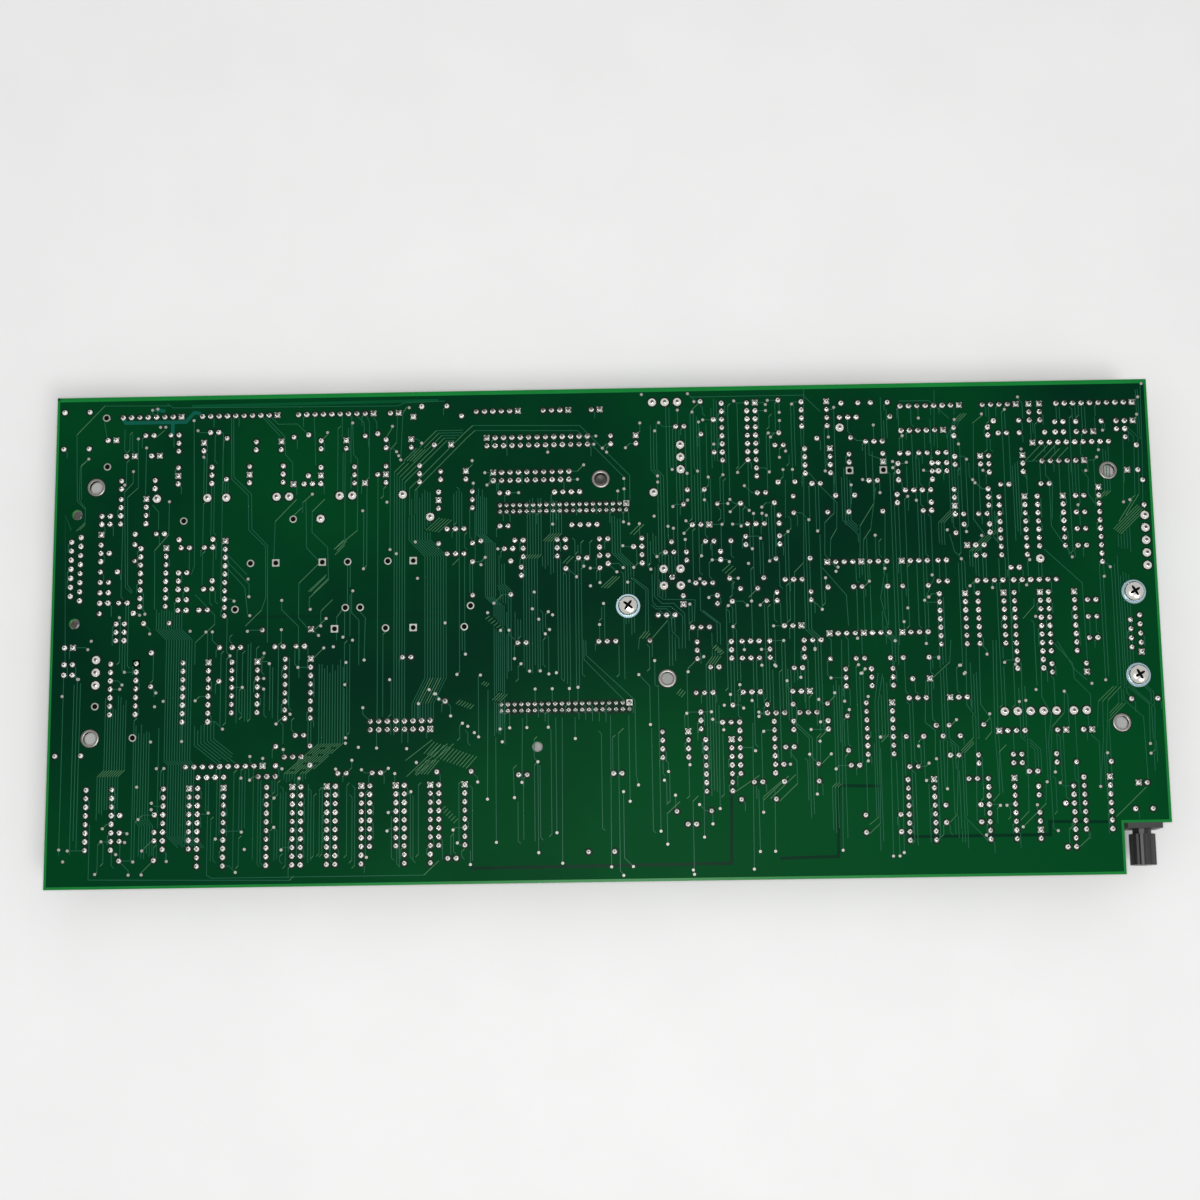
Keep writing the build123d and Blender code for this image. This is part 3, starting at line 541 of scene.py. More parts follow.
squares = []
for x, y in SQUARE_PADS:
    index, gap = nearest_joint(x, y)
    if gap < SAME_JOINT:
        squares.append((*JOINTS[index], TOP))
new_piece("square first pin pads", *stamp(pad, squares), PLATING, "solder")
new_piece("bare frames of the square pads", *stamp(halo, squares), CLEARANCE, "green_laminate")

# %% [markdown]
# ## Vias and empty holes
# A via is a small plated hole that takes a line from one side to the other, and the wave of solder has
# filled these. They lie almost flush, so a shallow turned shape is enough. Places are in grid steps.

# %% Vias
VIAS = [
    (15, 108), (32.5, 97), (31.5, 91), (30.5, 89), (47.5, 87), (47, 80.5), (51, 83), (10.5, 94), (3.5, 86),
    (45.5, 64), (60, 64), (79, 69.5), (66, 83), (88, 89), (98, 93), (98, 88), (104, 71.5), (110.5, 76),
    (122, 78), (114, 98), (100.5, 100), (98, 105), (136.5, 100), (136, 89.5), (145, 101), (157, 91.5),
    (170.5, 80), (144.5, 78.5), (175.5, 86.5), (178, 84.5), (136.5, 64.5), (136.5, 62), (142.5, 60),
    (151, 59.5), (165, 59), (139.5, 54), (92, 56.5), (98, 55.5), (107.5, 59.5), (48.5, 51.5), (52, 51.5),
    (156.5, 50), (132, 50), (144, 49.5), (159.5, 47.5), (149, 43.5), (169.5, 52.5), (88, 46.5), (92, 45.5),
    (75.5, 45), (39.5, 43), (115, 46), (167, 39), (107, 50.5), (103.5, 37), (46.5, 35.5), (46.5, 32.5),
    (73, 30.5), (40.5, 28), (24, 24), (35.5, 21.5), (34.5, 17.5), (23.5, 18), (8, 14), (4, 14.5), (6, 9),
    (42.5, 13.5), (30.5, 12), (38.5, 8.5), (54, 8.5), (88.5, 21.5), (103.5, 23.5), (76.5, 18.5), (90, 13.5),
    (107, 13), (86, 3), (21, 3), (36.5, 2.5), (42.5, 2.5), (156.5, 29.5), (156, 21), (146.5, 9), (82, 104),
    (192.5, 103), (188.5, 93.5), (215.5, 100.5), (218.5, 98), (222.5, 94.5), (227.5, 94.5), (231.5, 93),
    (235, 93.5), (199.5, 93), (178.5, 84.5), (180, 82), (182, 80.5), (185.5, 74), (191, 70.5), (193.5, 69),
    (196.5, 66), (198.5, 64), (208.5, 67.5), (209.5, 61.5), (245, 86.5), (243.5, 62.5), (226, 52),
    (218.5, 42.5), (215, 35.5), (202.5, 35), (206.5, 15), (226, 10), (234.5, 19), (237, 5), (259.5, 3),
    (265, -1), (269.5, 3), (268.5, 33), (265.5, 37.5), (272.5, 40.5), (278.5, 68.5), (281, 98.5),
    (273.5, 92), (296.5, 93), (295.5, 73.5), (307.5, 70.5), (286.5, 46.5), (284.5, 42.5), (296.5, 49.5),
    (289.5, 35.5), (300.5, 31), (282.5, 19), (285.5, 13), (297.5, -1), (306.5, 22), (302.5, 16), (310, 29),
    (325, 1), (328, 9), (335, 9), (330, 27), (194.5, 5), (186.5, 21), (188.5, 15), (198, 43), (316, 82),
    (313, 77), (322, 75.5), (326, 79), (320.5, 86.5), (331, 95.5), (323, 103), (331, 103), (337.5, 95),
    (329, 73.5), (329, 71.5), (331, 64.5), (334, 65), (312.5, 65.5), (327, 55.5), (342.5, 88), (356, 102.5),
    (349, 89.5), (363, 89), (364.5, 82), (369, 78), (357, 79), (376, 95), (379, 93), (377, 91), (371, 74),
    (380, 80), (357.5, 68.5), (353, 65), (357, 59.5), (352, 53.5), (362, 53.5), (355, 35), (364, 46.5),
    (385, 61), (389, 60.5), (402.5, 56.5), (407, 48.5), (410.5, 50.5), (405.5, 40.5), (415, 36.5),
    (420.5, 68.5), (425, 90), (423.5, 94), (413.5, 98), (436, 99), (408, 104.5), (436, 71), (444, 95),
    (448, 96), (449, 94), (450, 76.5), (453, 77), (458, 82), (471, 81), (484, 84.5), (490.5, 86),
    (465, 43.5), (467, 38.5), (461, 39), (456, 28.5), (439, 28.5), (442, 28.5), (449, 18.5), (465, 16.5),
    (432, 15), (485.5, 36.5), (489.5, 52), (509.5, 56), (509.5, 51.5), (366, 9), (389, 6), (392, 6),
    (394, 7.5), (43, 223.5), (45.5, 224), (47, 215), (49.5, 215), (63, 218), (65, 213), (36.5, 209.5),
    (40.5, 205), (34.5, 193.5), (13, 200), (30.5, 187), (52, 178.5), (90, 140.5), (90.5, 132), (83.5, 130),
    (39, 124), (41.5, 124.5), (29.5, 123), (63, 116), (70.5, 115.5), (73.5, 115.5), (44, 115), (90, 115.5),
    (106, 130), (106, 116), (120, 181), (127, 211), (139, 215.5), (139.5, 134), (144, 172.5),
    (144.5, 144.5), (155.5, 176.5), (157, 153.5), (160, 151.5), (170, 139.5), (169, 157), (158, 213.5),
    (160, 201), (161, 199), (162, 197), (124.5, 117.5), (123.5, 113), (127, 121), (135, 112),
    (139.5, 110.5), (126, 107), (130.5, 107.5), (16.5, 112), (11, 94), (348.5, 221), (342.5, 217),
    (342.5, 213), (345, 198), (342, 195), (343.5, 189), (348, 189), (368.5, 219), (365.5, 204.5),
    (387, 210), (363.5, 188), (375.5, 181), (389, 177), (381, 183.5), (395.5, 192), (395.5, 189),
    (400.5, 204.5), (408.5, 213), (402, 191.5), (410, 187.5), (402, 175), (406, 173), (420, 158.5),
    (427, 200), (430.5, 192.5), (426, 195), (433, 182.5), (434, 181), (425.5, 212), (438.5, 214.5),
    (438, 187), (429, 157.5), (436, 155.5), (426, 144.5), (446, 146), (456, 222.5), (449.5, 216.5),
    (495.5, 205.5), (493, 196), (492, 192.5), (486.5, 186), (513, 221.5), (512, 213), (515, 228),
    (503.5, 170.5), (506.5, 171.5), (478, 144.5), (492.5, 135), (495.5, 139.5), (458, 143.5), (456, 131.5),
    (440, 130.5), (429.5, 131.5), (423, 94), (425.5, 90.5), (400, 121.5), (398, 115), (408, 125),
    (410, 126.5), (412, 137), (393.5, 106), (376, 107.5), (360, 121.5), (367, 139.5), (368, 141.5),
    (362, 136.5), (390, 140.5), (382.5, 134.5), (374, 130.5), (389, 132.5), (356, 103), (341.5, 107),
    (337, 95.5), (377.5, 91), (413.5, 97.5), (459.5, 116.5), (355, 164.5), (359, 159), (386, 156.5),
    (68, 200), (91, 123), (119.5, 125.5), (166, 222.5), (172, 205), (196, 196), (196.5, 185), (183, 118),
    (200, 145.5), (202, 149), (203, 122.5), (206, 127), (209, 114), (213, 114), (225, 132), (224, 124),
    (231.5, 122.5), (233.5, 121), (227, 119), (230, 112), (232, 114), (202, 190), (203, 184), (218, 180),
    (246, 186), (249, 193), (232, 199.5), (255, 207), (254, 203), (258, 201), (260, 199), (208, 153),
    (234, 164.5), (248.5, 144), (251.5, 143), (245, 139), (251.5, 134.5), (256, 136), (257.5, 126),
    (255.5, 116), (277, 227), (299, 227), (302, 223), (294, 219), (301, 218), (306, 214), (304, 213),
    (311, 202), (276, 213), (285, 213), (283, 209), (269, 201), (268, 186), (298, 188), (303, 189),
    (308, 186), (291, 190), (284, 187), (284, 184), (265, 180), (268, 181), (306, 175), (298, 175),
    (291, 172), (282, 167.5), (317, 173), (318, 175), (318, 169), (333, 171), (327, 169.5), (329, 168),
    (333, 168), (335, 167), (321, 223), (337, 223), (336, 221), (336, 218), (337, 207), (338, 205),
    (337, 188), (322, 188), (315, 187), (325, 181.5), (297, 165), (314, 163), (319, 163), (323, 162),
    (288.5, 162.5), (291, 161.5), (296, 159), (296.5, 156), (267.5, 165), (270, 164), (275, 164),
    (267, 153.5), (272, 143), (267, 143), (280, 142), (264, 141), (283, 148), (309, 146), (304, 148),
    (317, 145), (332, 156), (328, 151), (345, 159), (336, 145), (326, 144), (298, 136), (303, 137),
    (298, 125), (307, 128), (316, 124), (321, 137), (327, 126), (325, 124), (331, 124), (318, 114),
    (337, 114), (269, 136), (456.5, 197), (482, 169.5), (297, 1), (343, 49), (379, 50), (304, 100),
    (307, 74), (225, 86), (233, 86), (241, 86), (213, 68), (221, 68), (231, 68),
]
VIA_CLEARANCE = 2.1         # steps from a via to the nearest joint
clear_vias = [(x, y) for x, y in VIAS if nearest_joint(x, y)[1] > VIA_CLEARANCE]
via_spots = [(*at(x, y), TOP) for x, y in clear_vias]
via_shape = turned(
    [(0.48 * MM, 0.0), (0.45 * MM, 0.05 * MM), (0.25 * MM, 0.07 * MM), (0.1 * MM, 0.045 * MM)], 10,
)
new_piece("filled vias", *stamp(via_shape, via_spots), VIA_SOLDER, "solder", smooth=True)
new_piece(
    "bare rings round the vias", *stamp(ring_shape(0.44 * MM, 0.62 * MM, 0.01 * MM, 12), via_spots), CLEARANCE,
    "green_laminate",
)

# %% [markdown]
# ## Places without a part
# Where no part was fitted, the plated hole stays open: a raised ring or a square frame round a dark hole.
# The dark is a flat disc, because a real hole this small shows nothing but shade.

# %% Empty ringed holes
RING_CLEARANCE = 2.5        # steps from an open ring to the nearest joint
OPEN_RINGS = [
    (21, 220), (22, 196), (59, 169), (111, 169), (91, 148), (137, 148), (156, 148), (84, 126), (136, 126),
    (143, 126), (195, 126), (155, 116), (192, 116), (19, 81), (37, 66), (320, 57), (336, 57), (73, 160),
]
OPEN_SQUARES = [(103, 148), (125, 148), (168, 148), (131, 116), (168, 116), (20, 163), (375, 188), (391, 188)]


def free_of_joints(places):
    """The places that no joint stands on, in metres."""
    return [(*at(x, y), TOP) for x, y in places if nearest_joint(x, y)[1] > RING_CLEARANCE]


ring_spots = free_of_joints(OPEN_RINGS)
square_spots = free_of_joints(OPEN_SQUARES)
open_ring = turned(
    [(1.15 * MM, 0.0), (1.1 * MM, 0.06 * MM), (0.78 * MM, 0.07 * MM), (0.72 * MM, 0.0)], 20, close_top=False,
)
square_frame = plate(1.1 * MM, 0.04 * MM)
dark_disc = turned([(0.75 * MM, 0.0), (0.75 * MM, 0.05 * MM)], 16)
open_shapes = together(stamp(open_ring, ring_spots), stamp(square_frame, square_spots))
new_piece("open rings", *open_shapes, PLATING, "solder")
new_piece("dark lead holes", *stamp(dark_disc, ring_spots + square_spots), HOLE_DARK, "green_laminate")

# %% [markdown]
# ## Copper lines under the lacquer
# Etched lines stand about a hair's width above the laminate, and the lacquer follows them. They run upright,
# level or at 45 degrees, side by side in bundles two lines to a pad gap. A line here is a low ribbon with
# sloped sides, so that it catches the light as the real one does. Stretches that slant up to the right are
# drawn lighter as well, and that is a painted glint.

# %% Ribbon along a path
LINE_FOOT = 0.105 * MM
LINE_CREST = 0.065 * MM
LINE_HEIGHT = 0.03 * MM
LINE_PITCH = 1.25           # steps between two lines of a bundle
BACK_EDGE = 228.5           # last place of a line before the board's back edge
line_corners, line_faces, glint_faces = [], [], []
taken = set()               # half steps that a line already crosses


def mark(points):
    """Note the half steps along a path as taken."""
    for (x0, y0), (x1, y1) in zip(points, points[1:]):
        count = max(1, int(2 * max(abs(x1 - x0), abs(y1 - y0))))
        for i in range(count + 1):
            x, y = x0 + (x1 - x0) * i / count, y0 + (y1 - y0) * i / count
            taken.add((round(2 * x), round(2 * y)))


def is_taken(x, y):
    """True where a line runs within a step of a place."""
    return any((round(2 * x) + a, round(2 * y)) in taken for a in (-1, 0, 1))


def line(points):
    """Low ribbon along a path of places in steps. No two have the same height, so crossings stay clean."""
    mark(points)
    crest = LINE_HEIGHT * chance.uniform(0.7, 1.3)
    path = [np.array(at(x, min(y, BACK_EDGE))) for x, y in points]
    path = [p for i, p in enumerate(path) if i == 0 or np.linalg.norm(p - path[i - 1]) > 1e-6]
    if len(path) < 2:
        return
    sides = []
    for i in range(len(path)):
        before = path[i] - path[i - 1] if i else path[1] - path[0]
        after = path[i + 1] - path[i] if i + 1 < len(path) else before
        before, after = before / np.linalg.norm(before), after / np.linalg.norm(after)
        middle = before + after
        middle = middle / max(np.linalg.norm(middle), 1e-9)
        across = np.array([-middle[1], middle[0]])
        sides.append(across / max(0.7, float(np.dot(middle, before))))
    start = len(line_corners)
    for p, across in zip(path, sides):
        for reach, z in ((-LINE_FOOT, 0), (-LINE_CREST, crest), (LINE_CREST, crest), (LINE_FOOT, 0)):
            q = p + across * reach
            line_corners.append((q[0], q[1], TOP + z))
    for i in range(len(path) - 1):
        a = start + 4 * i
        run = path[i + 1] - path[i]
        # Stretches that slant up to the right get the lighter finish, a painted glint.
        gets_painted_glint = run[0] * run[1] > 0 and 0.5 < run[1] / run[0] < 2
        for k in range(3):
            (glint_faces if gets_painted_glint else line_faces).append((a + k, a + 4 + k, a + 5 + k, a + 1 + k))


def left_normals(path, i):
    """Directions to the left of a path just before and just after one of its points."""
    before = np.subtract(path[i], path[i - 1]) if i else np.subtract(path[1], path[0])
    after = np.subtract(path[i + 1], path[i]) if i + 1 < len(path) else before
    return [np.array([-v[1], v[0]]) / np.linalg.norm(v) for v in (before, after)]


def untaken(points):
    """Stretches of a path that touch no earlier line."""
    stretches, run = [], []
    for (x0, y0), (x1, y1) in zip(points, points[1:]):
        count = max(1, int(2 * max(abs(x1 - x0), abs(y1 - y0))))
        last = None
        for i in range(count + 1):
            place = (x0 + (x1 - x0) * i / count, y0 + (y1 - y0) * i / count)
            if is_taken(*place):
                stretches.append(run + [last] if last else run)
                run, last = [], None
            else:
                run = run or [place]
                last = place
        if last:
            run.append(last)
    stretches.append(run)
    return [run for run in stretches if len(run) > 1 and abs(run[0][1] - run[-1][1]) > 4]


def beside(points, gap):
    """A path moved to its left by a gap, so that bends stay nested."""
    moved = []
    for i, (x, y) in enumerate(points):
        left = left_normals(points, i)
        side = (left[0] + left[1]) / (1 + float(np.dot(*left)))
        moved.append([x + side[0] * gap, y + side[1] * gap])
    return moved


def bundle(points, count, shift):
    """Several lines side by side, broken at earlier lines. Each is moved by the shift, or nested by a gap."""
    for i in range(count):
        if isinstance(shift, tuple):
            path = [[x + shift[0] * i, y + shift[1] * i] for x, y in points]
        else:
            path = beside(points, shift * i)
        if count > 1:
            for end, inner in ((path[0], path[1]), (path[-1], path[-2])):
                span = max(abs(inner[0] - end[0]), abs(inner[1] - end[1]))
                share = chance.uniform(0, min(0.4, 7 / span))
                end[0] += (inner[0] - end[0]) * share
                end[1] += (inner[1] - end[1]) * share
        for stretch in untaken(path) if count > 1 else [path]:
            line(stretch)


print("one line pitch is", LINE_PITCH, "steps, or", round(LINE_PITCH * STEP / MM, 2), "mm")

# %% [markdown]
# ## Lines that can be followed by eye
# The long border lines, the fans from the headers, the nested fan at the back and the run down the right edge,
# whose yellowish look is a painted glint on its slanting stretch. Each row is a path in grid steps, the number
# of lines side by side, and how they differ: a pair is the shift from one line to the next, and a single
# number is the gap of a fan whose bends stay nested.

# %% Border lines, fans and long runs
LONG_RUNS = [
    ([(13, 200), (9, 196), (9, 180), (12, 176), (12, 169), (8, 165)], 1, (0, 0)),
    ([(9, 98), (9, 12)], 3, (1.5, 0)),
    ([(4, 95), (4, 12)], 1, (0, 0)),
    ([(18, 26), (18, 0.5), (111, -1), (113, 1)], 1, (0, 0)),
    ([(72.7, 29), (72.7, 2), (75, 0.5), (173, 0.5), (180, 7)], 1, (0, 0)),
    ([(24, 86), (24, 51), (21, 48), (21, 27)], 9, (1.2, 0)),
    ([(38.6, 74), (38.6, 28), (41, 25), (41, 6)], 6, (1.25, 0)),
    ([(47, 127), (47, 117), (52, 112), (52, 55), (54, 53), (54, 20), (60, 14)], 11, (1.2, 0)),
    ([(66, 72), (66, 62), (81, 50)], 7, (1.5, 0.5)),
    ([(124, 102), (124, 62), (108, 48), (108, 44)], 10, (1.25, 0)),
    ([(274.5, 168.5), (274.5, 189), (249, 216), (195, 217), (189, 211.5), (162.5, 184.5), (162.5, 167)],
     8, 1.25),
    ([(200, 206), (184, 206), (164, 186), (164, 60)], 5, (-1.25, 1.25)),
    ([(166, 183.5), (166, 158), (173.5, 150), (173.5, 92), (167.5, 80), (167.5, 70)], 9, (1.25, 0)),
    ([(198, 184), (198, 160), (202, 156), (202, 130), (206, 126), (206, 60)], 7, (0.95, 0)),
    ([(206, 150), (206, 136), (209, 133), (209, 90)], 5, (1.25, 0)),
    ([(222, 178), (222, 150), (220, 148), (220, 92)], 6, (1.3, 0)),
    ([(230, 176), (233, 173), (233, 160), (229, 156), (229, 138)], 5, (1.3, 0)),
    ([(262, 168), (262, 150), (268, 144), (268, 110)], 4, (1.3, 0)),
    ([(281, 214), (281, 190), (284, 187), (284, 122), (288, 118), (288, 92)], 3, (1.4, 0)),
    ([(310, 226), (310, 190)], 3, (1.3, 0)),
    ([(303, 217), (303, 160)], 2, (1.3, 0)),
    ([(300, 228), (352, 228), (355, 225), (365, 225)], 2, (0, -1.4)),
    ([(300, 225.3), (354, 225.3), (362, 217)], 1, (0, 0)),
    ([(308, 112), (308, 100), (305, 96), (305, 34)], 4, (1.3, 0)),
    ([(352, 166), (352, 112), (356, 108), (356, 60)], 3, (1.4, 0)),
    ([(371, 190), (371, 164), (378, 157), (378, 132)], 4, (1.3, 0)),
    ([(392, 218), (392, 200)], 2, (1.4, 0)),
    ([(388, 143), (388, 110), (392, 106), (392, 90)], 3, (1.4, 0)),
    ([(431, 217), (425, 211), (422, 204), (422, 168), (416, 162), (416, 150)], 3, (1.3, 0)),
    ([(440, 170), (440, 158), (430, 148), (430, 136)], 4, (1.3, 0)),
    ([(452, 196), (452, 152)], 3, (1.25, 0)),
    ([(466, 199), (458, 191), (454, 191)], 5, (3.6, 0)),
    ([(495, 198), (495, 176), (491, 172)], 3, (1.3, 0)),
    ([(496, 146), (496, 75), (488, 67), (488, 30)], 3, (1.5, 0)),
    ([(500, 142), (500, 80), (502, 77)], 4, (1.3, 0)),
    ([(510, 175), (500, 160), (500, 146)], 5, (1.4, 0)),
    ([(512, 228), (512, 182), (508, 177)], 3, (1.0, 0)),
    ([(414, 128), (414, 60), (418, 56), (418, 12)], 3, (1.4, 0)),
    ([(386, 92), (386, 62), (382, 58), (382, 8)], 3, (1.4, 0)),
    ([(364, 92), (364, 40), (362, 38), (362, 14)], 3, (1.3, 0)),
    ([(343, 96), (343, 70), (352, 61), (352, 20)], 2, (1.4, 0)),
    ([(450, 88), (450, 60), (456, 54), (456, 40)], 3, (1.4, 0)),
    ([(428, 96), (428, 60), (421, 53), (421, 8)], 3, (1.3, 0)),
    ([(503, 88), (511, 80), (511, 42)], 2, (1.3, 0)),
]
print("long runs:", len(LONG_RUNS))

# %% [markdown]
# ## Lines that run alone
# Between the bundles, single lines go from a via or a pad to the next. Each row is the path of one line in
# grid steps. Its two ends are used again further down, where vias without a line get one.

